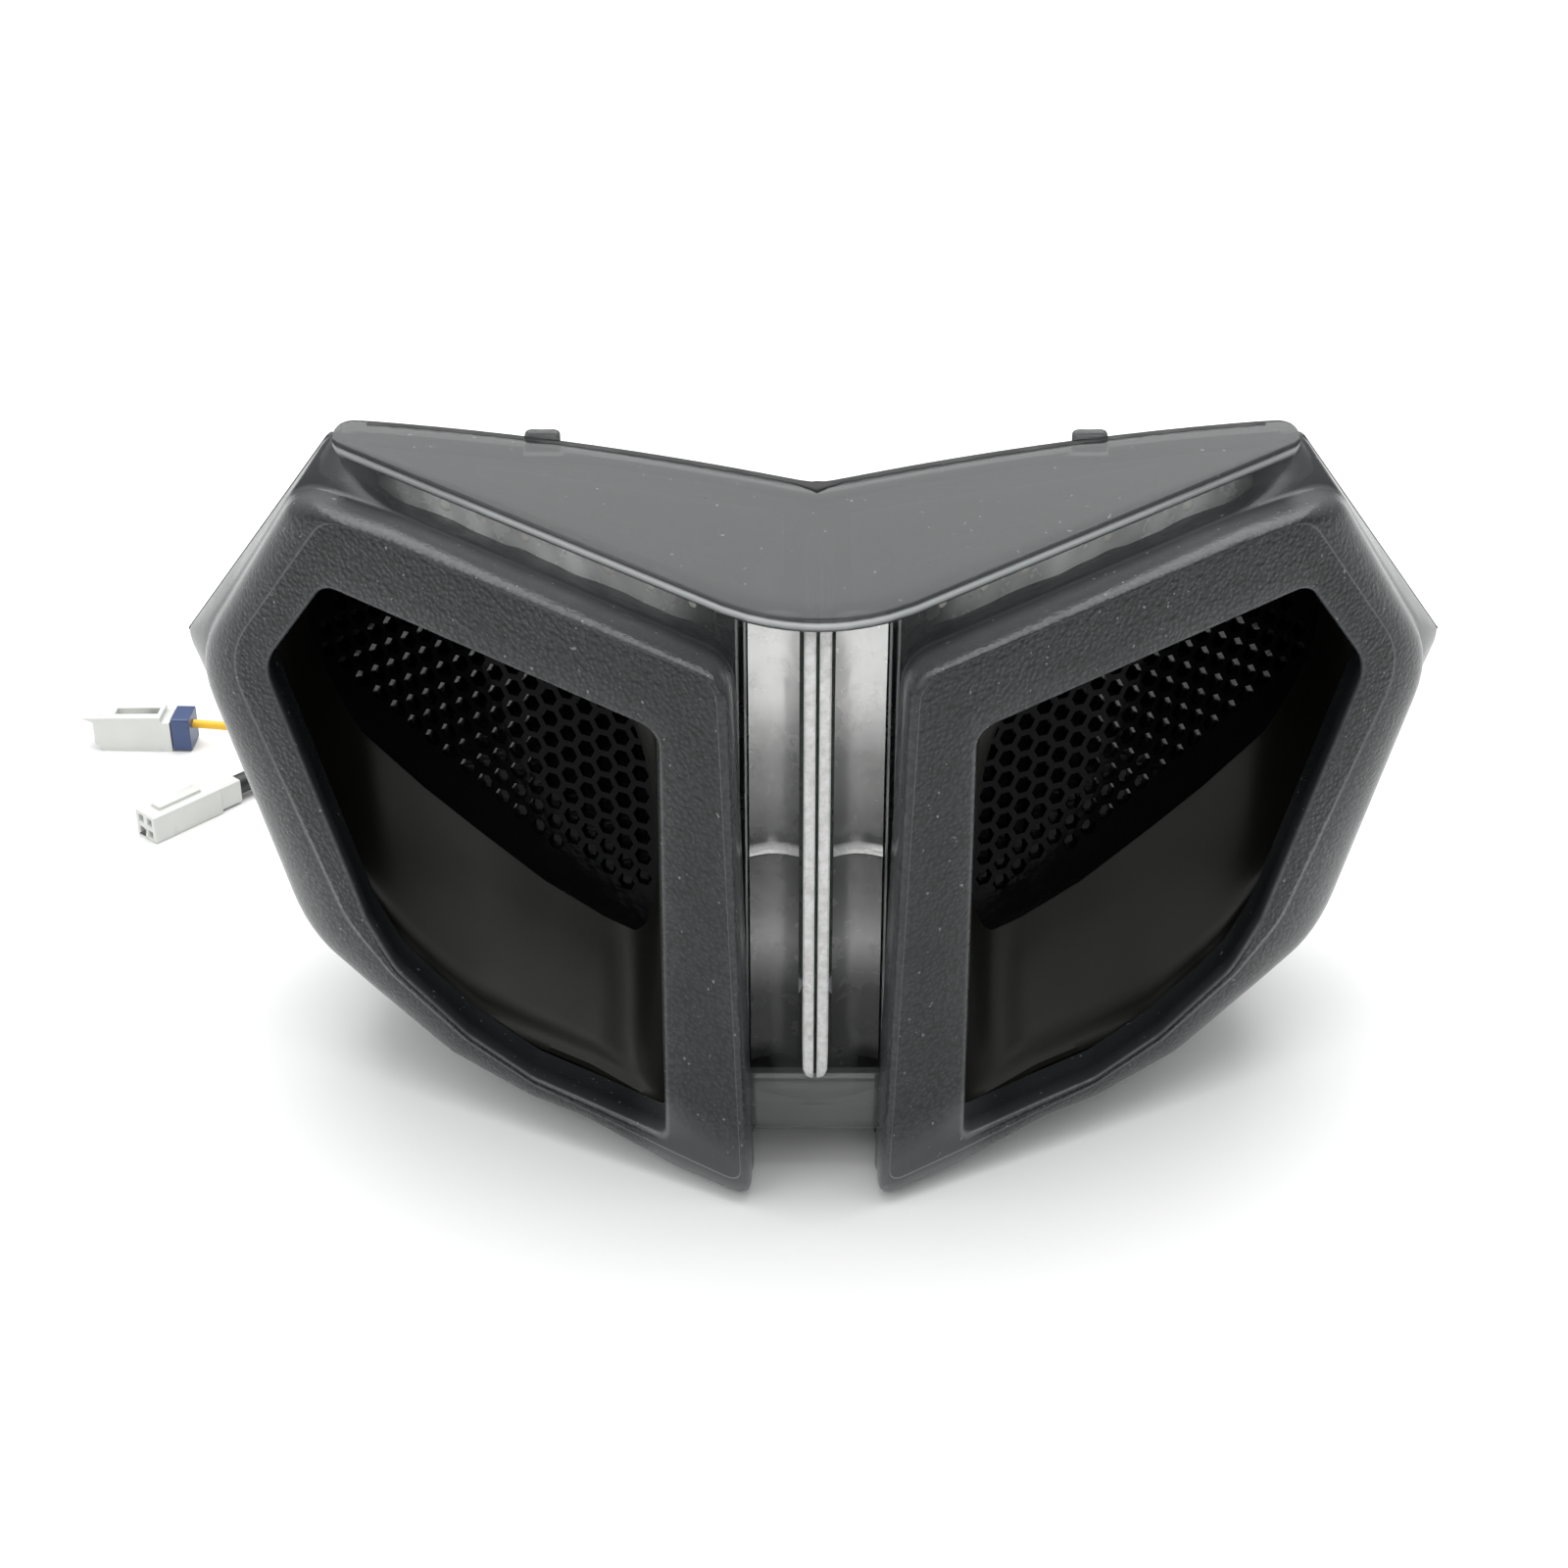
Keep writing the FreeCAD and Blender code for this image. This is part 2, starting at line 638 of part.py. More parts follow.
def grille():
    """A honeycomb that follows the duct's walls, with cells deeper than they are wide."""
    lean = math.radians(size.sweep)
    along = Vector(math.cos(lean), math.sin(lean), 0)
    back = size.grille_back - size.grille_thickness / math.cos(lean)
    share = (back - size.duct_back) / (size.grille_back - size.duct_back)
    front = [(x0 + (x1 - x0) * share, z0 + (z1 - z0) * share)
             for (x0, z0), (x1, z1) in zip(DUCT_MOUTH, DUCT_SEAT)]
    body = ruled([
        loop(swept(inset(front, size.gap), back)),
        loop(swept(inset(DUCT_SEAT, size.gap), size.grille_back)),
    ])
    rim = size.cell_pitch / 2 + size.cell_wall
    keeps = inset(front, rim), inset(DUCT_SEAT, rim)
    corner = (size.cell_pitch - size.cell_wall) / 2 / math.cos(math.radians(30))
    column_step = size.cell_pitch * math.cos(math.radians(30))
    depth = Vector(0, size.grille_back - back + 2, 0)
    cells = []
    for column in range(int(100 / column_step)):
        x = (20.0 + column * column_step) * math.cos(lean)
        for row in range(int(80 / size.cell_pitch)):
            z = 30.0 + (row + 0.5 * (column % 2)) * size.cell_pitch
            if not all(inside(keep, x, z) for keep in keeps):
                continue
            centre = swept([(x, z)], back - 1)[0]
            cells.append(prism([
                centre + along * (corner * math.cos(math.radians(60 * k)))
                + Vector(0, 0, corner * math.sin(math.radians(60 * k))) for k in range(6)
            ], depth))
    return body.cut(Part.makeCompound(cells))


# ---------------------------------------------------------------- light guide, reflectors, boards, LEDs
def centre_light_guide():
    """A clear bar down the column that turns back under the plate, grooved along its middle."""
    drop = size.plate_thickness + size.gap
    leg = GUIDE_FRONT + size.guide_depth
    profile = [
        (GUIDE_FRONT, size.column_foot_z + 2.0),
        (leg, size.column_foot_z + 4.6),
        (leg, plate_height(leg) - 12.0),
        (30.0, plate_height(30.0) - 12.0),
        (30.0, plate_height(30.0) - drop),
        (GUIDE_FRONT, plate_height(GUIDE_FRONT) - drop),
    ]
    bar = side_prism(profile, size.guide_width / 2)
    groove = box(Vector(-0.25, GUIDE_FRONT - 1, 0), Vector(0.25, GUIDE_FRONT + 0.6, 103))
    return bar.cut(groove)


def channel(half_width, front, deep, low, high, thickness):
    """A bowed reflector wall, open towards the lens."""
    shift = Vector(0, thickness, 0)
    left, right = Vector(-half_width, front, low), Vector(half_width, front, low)
    middle = Vector(0, deep, low)
    edges = [
        Part.Arc(left, middle, right).toShape(),
        Part.LineSegment(right, right + shift).toShape(),
        Part.Arc(right + shift, middle + shift, left + shift).toShape(),
        Part.LineSegment(left + shift, left).toShape(),
    ]
    return Part.Face(Part.Wire(edges)).extrude(Vector(0, 0, high - low))


COLUMN_LEDS = [(x, z) for z in (78.0, 88.0, 98.0) for x in (-6.0, 6.0)]
LOWER_LEDS = [(x, z) for z in (50.0, 60.0) for x in (-5.0, 5.0)]


def led_hole(x, z, radius):
    return rod(Vector(x, CHANNEL_FRONT, z), Vector(x, CHANNEL_DEEP + 4, z), radius)


def column_reflector():
    """A bowed tray behind the column's upper half, its floor notched for the light guide."""
    low, floor_top, high = 68.5, 69.7, 104.0
    wall = channel(CHANNEL_X, CHANNEL_FRONT, CHANNEL_DEEP, floor_top, high, CHANNEL_WALL)
    back = CHANNEL_FRONT + CHANNEL_WALL
    notch_x, notch_y = size.guide_width / 2 + 0.8, GUIDE_FRONT + size.guide_depth + 1.0
    half = [(CHANNEL_X, back), (CHANNEL_X, CHANNEL_FRONT), (notch_x, CHANNEL_FRONT - 1.0), (notch_x, notch_y)]
    corners = half + [(-x, y) for x, y in reversed(half)]
    points = [Vector(x, y, low) for x, y in corners]
    edges = [Part.LineSegment(points[i], points[i + 1]).toShape() for i in range(len(points) - 1)]
    edges.append(Part.Arc(points[-1], Vector(0, CHANNEL_DEEP + CHANNEL_WALL, low), points[0]).toShape())
    floor = Part.Face(Part.Wire(edges)).extrude(Vector(0, 0, floor_top - low))
    whole = wall.fuse(floor)
    for x, z in COLUMN_LEDS:
        whole = whole.cut(led_hole(x, z, size.led_radius + 2 * size.gap))
    return whole


def lower_reflector():
    """A bowed tray that narrows to a point under the column reflector."""
    low, high, half_width = 36.0, 68.2, CHANNEL_X - 0.5
    tray = channel(half_width, CHANNEL_FRONT + 0.4, CHANNEL_DEEP, low, high, CHANNEL_WALL)
    arrow = [(-half_width - 1, high), (half_width + 1, high), (half_width + 1, high - 9.0), (2.6, low),
             (-2.6, low), (-half_width - 1, high - 9.0)]
    whole = tray.common(prism([Vector(x, 0, z) for x, z in arrow], Vector(0, 40, 0)))
    for x, z in LOWER_LEDS:
        whole = whole.cut(led_hole(x, z, size.led_radius + 2 * size.gap))
    return whole


def led(base, direction, radius=None, height=None):
    """A through-hole LED: a collar, a short barrel and a dome."""
    radius = radius or size.led_radius
    height = height or size.led_height
    direction = Vector(direction).normalize()
    collar = rod(base, base + direction * 0.6, radius + 0.3)
    barrel = rod(base, base + direction * (height - radius), radius)
    dome = Part.makeSphere(radius, base + direction * (height - radius))
    return fused([collar, barrel, dome])


TURN_BACK = size.brow_back + size.wall + size.gap
TURN_DEPTH = size.cup_depth + 1.2
TURN_PITCH = 7.0
TURN_COUNT = 7


def turn_centre(index):
    """Where the middle of a brow LED's cup is, as (x, z)."""
    x = 20.5 + index * TURN_PITCH
    return x, size.crown_z - 8.6 + (x - 14.0) * 0.17


def turn_reflector():
    """A strip of cups behind the brow."""
    outline = [(16.0, size.crown_z - 12.3), (67.5, size.crown_z - 1.5),
               (67.5, size.crown_z + 2.4), (16.0, size.crown_z - 5.2)]
    strip = prism(swept(outline, TURN_BACK), Vector(0, TURN_DEPTH, 0))
    lean = math.radians(size.sweep)
    into = Vector(-math.sin(lean), math.cos(lean), 0)
    for index in range(TURN_COUNT):
        face = swept([turn_centre(index)], TURN_BACK)[0]
        strip = strip.cut(Part.makeCone(size.cup_radius, size.led_radius + 0.2, size.cup_depth, face, into))
        strip = strip.cut(rod(face, face + into * 10, size.led_radius + 0.2))
        strip = strip.cut(rod(face + into * size.cup_depth, face + into * 10, size.led_radius + 0.5))
    return strip


def turn_board():
    outline = [(16.5, size.crown_z - 11.6), (67.0, size.crown_z - 1.0),
               (67.0, size.crown_z + 2.0), (16.5, size.crown_z - 5.6)]
    back = TURN_BACK + TURN_DEPTH + size.gap
    return prism(swept(outline, back), Vector(0, size.board_thickness, 0))


def turn_leds():
    lean = math.radians(size.sweep)
    out = Vector(math.sin(lean), -math.cos(lean), 0)
    depth = (TURN_DEPTH + size.gap) * math.cos(lean)
    return [led(swept([turn_centre(index)], TURN_BACK)[0] - out * depth, out) for index in range(TURN_COUNT)]


TRAY = [(5.4, 18.6), (57.0, 44.4), (57.0, 47.4), (5.4, 34.6)]
TRAY_LEDS = [(12.5, 25.6), (20.0, 29.2), (28.0, 33.4), (36.0, 37.4), (44.0, 41.4), (19.0, 34.4), (11.0, 31.6)]


def tray_outline(margin):
    points = inset(TRAY, margin)
    return Part.makePolygon([Vector(x, y, 0) for x, y in points + points[:1]])


def plate_tray():
    """A shallow reflector tray under the plate, with a hole for each LED."""
    drop = size.tray_drop
    outer = plate_slab(size.plate_thickness + size.gap, drop + 1.2, tray_outline(0))
    tray = outer.cut(plate_slab(0, drop, tray_outline(1.2)))
    up = Vector(0, -size.plate_rise, 1)
    for x, y in TRAY_LEDS:
        base = Vector(x, y, plate_height(y) - drop - 2.0)
        tray = tray.cut(rod(base, base + up * 12, size.led_radius + 2 * size.gap))
    return tray


def plate_board():
    drop = size.tray_drop + 1.2 + size.gap
    return plate_slab(drop, drop + size.board_thickness, tray_outline(0.4))


def plate_leds():
    drop = size.tray_drop + 1.2 + size.gap
    up = Vector(0, -size.plate_rise, 1)
    return [led(Vector(x, y, plate_height(y) - drop), up, height=size.led_height + 1.2) for x, y in TRAY_LEDS]


# ---------------------------------------------------------------- rear cover, driver, mounting hardware
def column_screw_places():
    """Where the two column board screws are, as (x, z)."""
    return [(x, size.column_board_z - size.column_board_height / 2 + 3.0) for x in (-5.0, 5.0)]


def cover_screw_places():
    x = size.cover_width / 2 - size.cover_lap / 2 - 0.4
    z = size.cover_height / 2 - size.cover_lap / 2 - 0.4
    return [(sx * x, size.cover_z + sz * z) for sx in (-1, 1) for sz in (-1, 1)]


def screw(head_centre, direction, length=None):
    """A pan-head screw with a cross recess; direction points along the shank."""
    direction = Vector(direction).normalize()
    head = rod(head_centre - direction * size.screw_head_height, head_centre, size.screw_head)
    head = head.makeFillet(0.7, [e for e in head.Edges if e.Closed][:1])
    shank = rod(head_centre, head_centre + direction * (length or size.screw_length), size.screw_shank)
    across = Vector(1, 0, 0) if abs(direction.x) < 0.5 else Vector(0, 1, 0)
    other = direction.cross(across)
    top = head_centre - direction * size.screw_head_height
    blades = []
    for a, b in ((across, other), (other, across)):
        corner = top - a * 1.5 - b * 0.3
        blades.append(prism([corner, corner + a * 3.0, corner + a * 3.0 + b * 0.6, corner + b * 0.6],
                            direction * 0.9))
    return head.fuse(shank).cut(blades[0]).cut(blades[1])


def sketch_on(body, name, role):
    plane = next(o for o in body.Origin.OriginFeatures if o.Role == role)
    sketch = body.newObject("Sketcher::SketchObject", name)
    sketch.AttachmentSupport = (plane, "")
    sketch.MapMode = "FlatFace"
    return sketch


def bind(sketch, constraint, name, rule):
    index = sketch.addConstraint(constraint)
    sketch.renameConstraint(index, name)
    sketch.setExpression(f"Constraints.{name}", rule)


def draw_rectangle(sketch, width_rule, height_rule, width, height):
    """A rectangle about the sketch's origin whose two sides follow sheet cells."""
    x, y = width / 2, height / 2
    corners = [Vector(-x, -y), Vector(x, -y), Vector(x, y), Vector(-x, y)]
    for i in range(4):
        sketch.addGeometry(Part.LineSegment(corners[i], corners[(i + 1) % 4]))
    for i in range(4):
        sketch.addConstraint(Sketcher.Constraint("Coincident", i, 2, (i + 1) % 4, 1))
    for i in (0, 2):
        sketch.addConstraint(Sketcher.Constraint("Horizontal", i))
    for i in (1, 3):
        sketch.addConstraint(Sketcher.Constraint("Vertical", i))
    sketch.addConstraint(Sketcher.Constraint("Symmetric", 0, 1, 1, 2, -1, 1))
    bind(sketch, Sketcher.Constraint("DistanceX", 0, 1, 0, 2, width), "wide", width_rule)
    bind(sketch, Sketcher.Constraint("DistanceY", 1, 1, 1, 2, height), "tall", height_rule)


def draw_circle(sketch, name, centre, radius, rule):
    index = sketch.addGeometry(Part.Circle(Vector(*centre, 0), Vector(0, 0, 1), radius))
    bind(sketch, Sketcher.Constraint("Radius", index, radius), name, rule)


def flat_plate(label, width_rule, height_rule, thickness_rule, holes, extra_cut=None):
    """An upright plate in the XZ plane with round holes: (x, z, radius, rule)."""
    body = doc.addObject("PartDesign::Body", label)
    outline = sketch_on(body, f"{label}_outline", "XZ_Plane")
    draw_rectangle(outline, width_rule, height_rule, 40.0, 30.0)
    pad = body.newObject("PartDesign::Pad", f"{label}_pad")
    pad.Profile = outline
    pad.setExpression("Length", thickness_rule)
    doc.recompute()
    if holes:
        drill = sketch_on(body, f"{label}_holes", "XZ_Plane")
        for number, (x, z, radius, rule) in enumerate(holes):
            draw_circle(drill, f"hole{number}", (x, z), radius, rule)
        pocket = body.newObject("PartDesign::Pocket", f"{label}_drill")
        pocket.Profile = drill
        pocket.Type = "ThroughAll"
        pocket.Midplane = True
        solid = pad.Shape.Volume
        doc.recompute()
        if pocket.Shape.Volume >= solid:
            raise SystemExit(f"{label}: the holes cut nothing")
    return body


def turned(label, profile):
    """A body of revolution about Z; the profile is a list of (radius, z) corners."""
    body = doc.addObject("PartDesign::Body", label)
    sketch = sketch_on(body, f"{label}_profile", "XZ_Plane")
    for i in range(len(profile)):
        start, end = profile[i], profile[(i + 1) % len(profile)]
        sketch.addGeometry(Part.LineSegment(Vector(*start, 0), Vector(*end, 0)))
    for i in range(len(profile)):
        sketch.addConstraint(Sketcher.Constraint("Coincident", i, 2, (i + 1) % len(profile), 1))
    turn = body.newObject("PartDesign::Revolution", f"{label}_turn")
    turn.Profile = sketch
    turn.ReferenceAxis = (sketch, ["V_Axis"])
    turn.Angle = 360
    doc.recompute()
    return body


def copies(label, source, places, rotation=None):
    """Several of one turned piece in one node, each a separate solid."""
    solids = []
    for place in places:
        solid = source.Shape.copy()
        solid.Placement = Placement(place, rotation or Rotation()).multiply(solid.Placement)
        solids.append(solid)
    return part(label, Part.makeCompound(solids))


# ---------------------------------------------------------------- leads and connectors
COVER_BACK = size.rear_y + size.gasket + size.cover_thickness
LEAD_Z = size.cover_z
CONNECTOR_B = Placement(Vector(-144.0, 125.5, 0), Rotation(Vector(0, 0, 1), 47.6))
CONNECTOR_A = Placement(Vector(-141.8 - size.retainer_length, 168.0, 0), Rotation(Vector(0, 0, 1), 178.0))
B_WIDTH = 2 * size.pin_pitch + 0.8
B_HEIGHT = 2 * size.pin_pitch + 0.4
B_TAIL = 5.6
B_END = size.connector_length + B_TAIL
LEAD_ROUTE = [
    Vector(size.grommet_x - 2.5, REAR_END, LEAD_Z),
    Vector(size.grommet_x - 2.5, REAR_END + 10.0, LEAD_Z),
    Vector(-11.5, 125.5, 31.0),
    Vector(-22.5, 134.0, 19.5),
    Vector(-36.5, 139.0, 8.6),
    Vector(-50.0, 144.0, 3.2),
    Vector(-64.0, 148.5, 2.4),
    Vector(-78.0, 152.0, 2.4),
    Vector(-91.5, 154.5, 2.4),
    Vector(-104.0, 155.2, 2.6),
    Vector(-115.0, 152.4, 2.9),
    CONNECTOR_B.multVec(Vector(B_END + 8.0, 0, 3.2)),
    CONNECTOR_B.multVec(Vector(B_END, 0, 3.2)),
]
YELLOW_ROUTE = [
    Vector(size.grommet_x + 3.4, REAR_END, LEAD_Z),
    Vector(size.grommet_x + 3.4, REAR_END + 11.0, LEAD_Z),
    Vector(-6.5, 129.0, 32.5),
    Vector(-17.5, 141.5, 22.5),
    Vector(-32.5, 151.5, 11.5),
    Vector(-48.5, 160.0, 4.0),
    Vector(-66.0, 166.5, 1.4),
    Vector(-84.0, 170.8, 1.1),
    Vector(-102.0, 172.3, 1.1),
    Vector(-118.0, 171.3, 1.7),
    CONNECTOR_A.multVec(Vector(-size.retainer_length - 10.0, 0, 4.8)),
    CONNECTOR_A.multVec(Vector(-size.retainer_length, 0, 5.6)),
]


def tube(route, radius):
    """A round cord: straight runs joined by tangent arcs.  Gives its solid and length."""
    edges, start, smallest = [], route[0], 1e9
    for i in range(1, len(route) - 1):
        before, after = route[i - 1] - route[i], route[i + 1] - route[i]
        half_turn = (math.pi - before.getAngle(after)) / 2
        reach = 0.45 * min(before.Length, after.Length)
        bend = reach / math.tan(half_turn)
        smallest = min(smallest, bend)
        a, b = Vector(before).normalize(), Vector(after).normalize()
        centre = route[i] + (a + b).normalize() * math.hypot(bend, reach)
        middle = centre + (route[i] - centre).normalize() * bend
        first, last = route[i] + a * reach, route[i] + b * reach
        edges.append(Part.LineSegment(start, first).toShape())
        edges.append(Part.Arc(first, middle, last).toShape())
        start = last
    edges.append(Part.LineSegment(start, route[-1]).toShape())
    path = Part.Wire(edges)
    section = Part.Wire(Part.Circle(route[0], route[1] - route[0], radius).toShape())
    solid = path.makePipeShell([section], True, False)
    expected = math.pi * radius ** 2 * path.Length
    print(f"  cord of {path.Length:.1f} mm, smallest bend {smallest:.1f} mm,"
          f" volume {solid.Volume / expected:.4f} of section by length")
    if abs(solid.Volume / expected - 1) > 0.02:
        raise SystemExit("a cord's volume is wrong")
    return solid


B_WAYS = [(y, z) for z in (B_HEIGHT / 2 - size.pin_pitch / 2, B_HEIGHT / 2 + size.pin_pitch / 2)
          for y in (-size.pin_pitch / 2, size.pin_pitch / 2)]


def local_box(place, low, high):
    made = box(Vector(*low), Vector(*high))
    made.Placement = place.multiply(made.Placement)
    return made


def connector_b():
    """Four ways, two by two, its mating face towards -X of its own frame."""
    half = B_WIDTH / 2
    body = box(Vector(0, -half, 0), Vector(size.connector_length, half, B_HEIGHT))
    body = body.makeFillet(0.4, [e for e in body.Edges if e.BoundBox.XLength > 1])
    end = size.connector_length + 1
    for y, z in B_WAYS:
        body = body.cut(box(Vector(-1, y - 0.8, z - 0.8), Vector(end, y + 0.8, z + 0.8)))
    latch = box(Vector(3.0, -1.6, B_HEIGHT - 0.3), Vector(14.0, 1.6, B_HEIGHT + 0.9))
    body = body.fuse(latch)
    body.Placement = CONNECTOR_B
    return body


def connector_b_cover():
    """The narrower part at the wire end."""
    half = B_WIDTH / 2 - 0.5
    start = size.connector_length
    body = box(Vector(start, -half, 0.5), Vector(start + B_TAIL, half, B_HEIGHT - 0.4))
    end = start + B_TAIL - 1.5
    for y, z in B_WAYS:
        body = body.cut(box(Vector(start - 1, y - 0.8, z - 0.8), Vector(end, y + 0.8, z + 0.8)))
    body.Placement = CONNECTOR_B
    return body


def connector_b_terminals():
    found = []
    end = size.connector_length - 1
    for y, z in B_WAYS:
        found.append(local_box(CONNECTOR_B, (1.2, y - 0.6, z - 0.6), (end, y + 0.6, z + 0.6)))
    return Part.makeCompound(found)


def connector_a():
    """A housing under a lock hood; its mating face is towards +X of its own frame."""
    half, length, height = 3.6, 17.8, size.connector_height
    profile = [(0, 0), (length - 2.0, 0), (length, 2.0), (length, height), (0, height)]
    body = prism([Vector(x, -half, z) for x, z in profile], Vector(0, 2 * half, 0))
    body = body.cut(box(Vector(5.0, -2.6, 1.2), Vector(length + 1, 2.6, height - 1.2)))
    body = body.cut(box(Vector(-1, -1.3, 4.3), Vector(6.0, 1.3, 6.9)))
    hood = [(2.0, height - 0.2), (length, height - 0.2), (length + 2.6, height + 0.9), (2.0, height + 1.4)]
    body = body.fuse(prism([Vector(x, -half, z) for x, z in hood], Vector(0, 2 * half, 0)))
    slot = box(Vector(3.0, -1.4, height - 0.5), Vector(13.0, 1.4, height + 3))
    body = body.cut(slot)
    body.Placement = CONNECTOR_A
    return body


def connector_a_retainer():
    body = box(Vector(-size.retainer_length, -3.7, 0.4), Vector(-0.3, 3.7, 8.4))
    body = body.makeFillet(0.6, [e for e in body.Edges if e.BoundBox.XLength > 1])
    body.Placement = CONNECTOR_A
    return body


def connector_a_terminal():
    return local_box(CONNECTOR_A, (0.2, -0.7, 4.6), (15.0, 0.7, 5.9))


# ---------------------------------------------------------------- the sub-parts
part("smoked_lens", smoked_lens())
part("rear_housing", rear_housing())
part("plate_gasket", plate_gasket())
for mirror_it, side in ((False, "right"), (True, "left")):
    one_side = {
        "flange_gasket": flange_gasket(),
        "duct": duct(),
        "grille": grille(),
        "turn_reflector": turn_reflector(),
        "turn_board": turn_board(),
        "turn_leds": Part.makeCompound(turn_leds()),
        "plate_tray": plate_tray(),
        "plate_board": plate_board(),
        "plate_leds": Part.makeCompound(plate_leds()),
    }
    for name, shape in one_side.items():
        part(f"{side}_{name}", mirrored(shape) if mirror_it else shape)

part("centre_light_guide", centre_light_guide())
part("column_reflector", column_reflector())
part("lower_reflector", lower_reflector())
out = Vector(0, -1, 0)
part("column_leds", Part.makeCompound([
    led(Vector(x, COLUMN_BOARD_Y, z), out, height=size.led_height + 1.6)
    for x, z in COLUMN_LEDS + LOWER_LEDS
]))

def screw_holes(places, centre_z, grow):
    """Round holes for flat_plate at (x, z) places, wider than the screws' shanks by grow."""
    radius = size.screw_shank + grow
    return [(x, z - centre_z, radius, f"sizes.screw_shank + {grow}") for x, z in places]


column_board = flat_plate("column_board", "sizes.column_board_width", "sizes.column_board_height",
                          "sizes.board_thickness",
                          screw_holes(column_screw_places(), size.column_board_z, 0.3))
placed("column_board", column_board,
       Vector(0, COLUMN_BOARD_Y + size.board_thickness, size.column_board_z))
part("column_screws", Part.makeCompound([
    screw(Vector(x, COLUMN_BOARD_Y, z), Vector(0, 1, 0), size.screw_length - 1)
    for x, z in column_screw_places()]))

driver_width, driver_height = size.cover_width - size.driver_margin, size.cover_height - size.driver_margin
corner_x, corner_z = driver_width / 2 - 2.6, driver_height / 2 - 2.6
driver_corners = [(sx * corner_x, size.cover_z + sz * corner_z) for sx in (-1, 1) for sz in (-1, 1)]
driver_board = flat_plate("driver_board", "sizes.cover_width - sizes.driver_margin",
                          "sizes.cover_height - sizes.driver_margin",
                          "sizes.board_thickness", screw_holes(driver_corners, size.cover_z, 0.3))
cover_front = size.rear_y + size.gasket
driver_y = cover_front - size.driver_standoff
placed("driver_board", driver_board, Vector(0, driver_y, size.cover_z))
part("driver_screws", Part.makeCompound([
    screw(Vector(x, driver_y - size.board_thickness, z), Vector(0, 1, 0),
          size.board_thickness + size.driver_standoff + 1.6) for x, z in driver_corners]))
spacers = []
for x, z in driver_corners:
    ring = rod(Vector(x, driver_y, z), Vector(x, cover_front, z), size.spacer_radius)
    spacers.append(ring.cut(rod(Vector(x, driver_y - 1, z), Vector(x, cover_front + 1, z),
                                size.screw_shank + size.gap)))
part("driver_spacers", Part.makeCompound(spacers))

board_face = driver_y - size.board_thickness
part("driver_chips", Part.makeCompound([
    box(Vector(-8.5, board_face - 1.6, 38.0), Vector(-2.5, board_face, 43.0)),
    box(Vector(-0.5, board_face - 1.2, 32.5), Vector(3.5, board_face, 36.5)),
    box(Vector(7.0, board_face - 2.4, 38.5), Vector(12.5, board_face, 42.5)),
]))
part("driver_coil", rod(Vector(-6.0, board_face, 31.0), Vector(-6.0, board_face - 4.2, 31.0), 3.2))
header = box(Vector(4.8, board_face - 5.0, 25.6), Vector(11.0, board_face, 31.8))
header = header.cut(box(Vector(5.6, board_face - 6.0, 26.4), Vector(10.2, board_face - 1.2, 31.0)))
part("driver_header", header)

cover_holes = screw_holes(cover_screw_places(), size.cover_z, 0.3)
cover_holes += screw_holes(driver_corners, size.cover_z, 0.0)
cover_holes.append((size.grommet_x, LEAD_Z - size.cover_z, size.grommet_neck, "sizes.grommet_neck"))
vent_x = size.cover_width / 2 - size.vent_edge
cover_holes.append((vent_x, LEAD_Z - size.cover_z, size.vent_radius - 1.2, "sizes.vent_radius - 1.2"))
rear_cover = flat_plate("rear_cover", "sizes.cover_width", "sizes.cover_height",
                        "sizes.cover_thickness", cover_holes)
placed("rear_cover", rear_cover, Vector(0, COVER_BACK, size.cover_z))
part("cover_screws", Part.makeCompound([
    screw(Vector(x, COVER_BACK, z), out)
    for x, z in cover_screw_places()
]))

half_x, half_z = size.cover_width / 2 - 0.6, size.cover_height / 2 - 0.6
seal = box(Vector(-half_x, size.rear_y, size.cover_z - half_z),
           Vector(half_x, cover_front, size.cover_z + half_z))
half_x, half_z = size.cover_width / 2 - size.cover_lap + 0.2, size.cover_height / 2 - size.cover_lap + 0.2
seal = seal.cut(box(Vector(-half_x, 0, size.cover_z - half_z), Vector(half_x, 200, size.cover_z + half_z)))
for x, z in cover_screw_places():
    shank = rod(Vector(x, size.rear_y - 1, z), Vector(x, cover_front + 1, z), size.screw_shank + size.gap)
    seal = seal.cut(shank)
part("cover_gasket", seal)

neck = size.grommet_neck - size.gap
grommet = turned("wire_grommet", [
    (0, 0), (size.grommet_radius - 1.0, 0), (size.grommet_radius - 1.0, 1.4), (neck, 1.4),
    (neck, 1.4 + size.cover_thickness + 2 * size.gap),
    (size.grommet_radius, 1.4 + size.cover_thickness + 2 * size.gap),
    (size.grommet_radius, 6.0), (size.grommet_radius - 1.2, REAR_END - cover_front + size.gap + 1.4),
    (0, REAR_END - cover_front + size.gap + 1.4),
])
TO_REAR = Rotation(Vector(1, 0, 0), -90)
placed("wire_grommet", grommet, Vector(size.grommet_x, cover_front - size.gap - 1.4, LEAD_Z), TO_REAR)

vent_neck = size.vent_radius - 1.2 - size.gap
vent = turned("vent_cap", [
    (0, 0), (vent_neck, 0), (vent_neck, size.cover_thickness + 0.6),
    (size.vent_radius, size.cover_thickness + 0.6), (size.vent_radius, size.cover_thickness + 1.8),
    (size.vent_radius - 0.6, size.cover_thickness + 2.4),
    (0, size.cover_thickness + 2.4),
])
placed("vent_cap", vent, Vector(vent_x, cover_front - 0.6, LEAD_Z), TO_REAR)

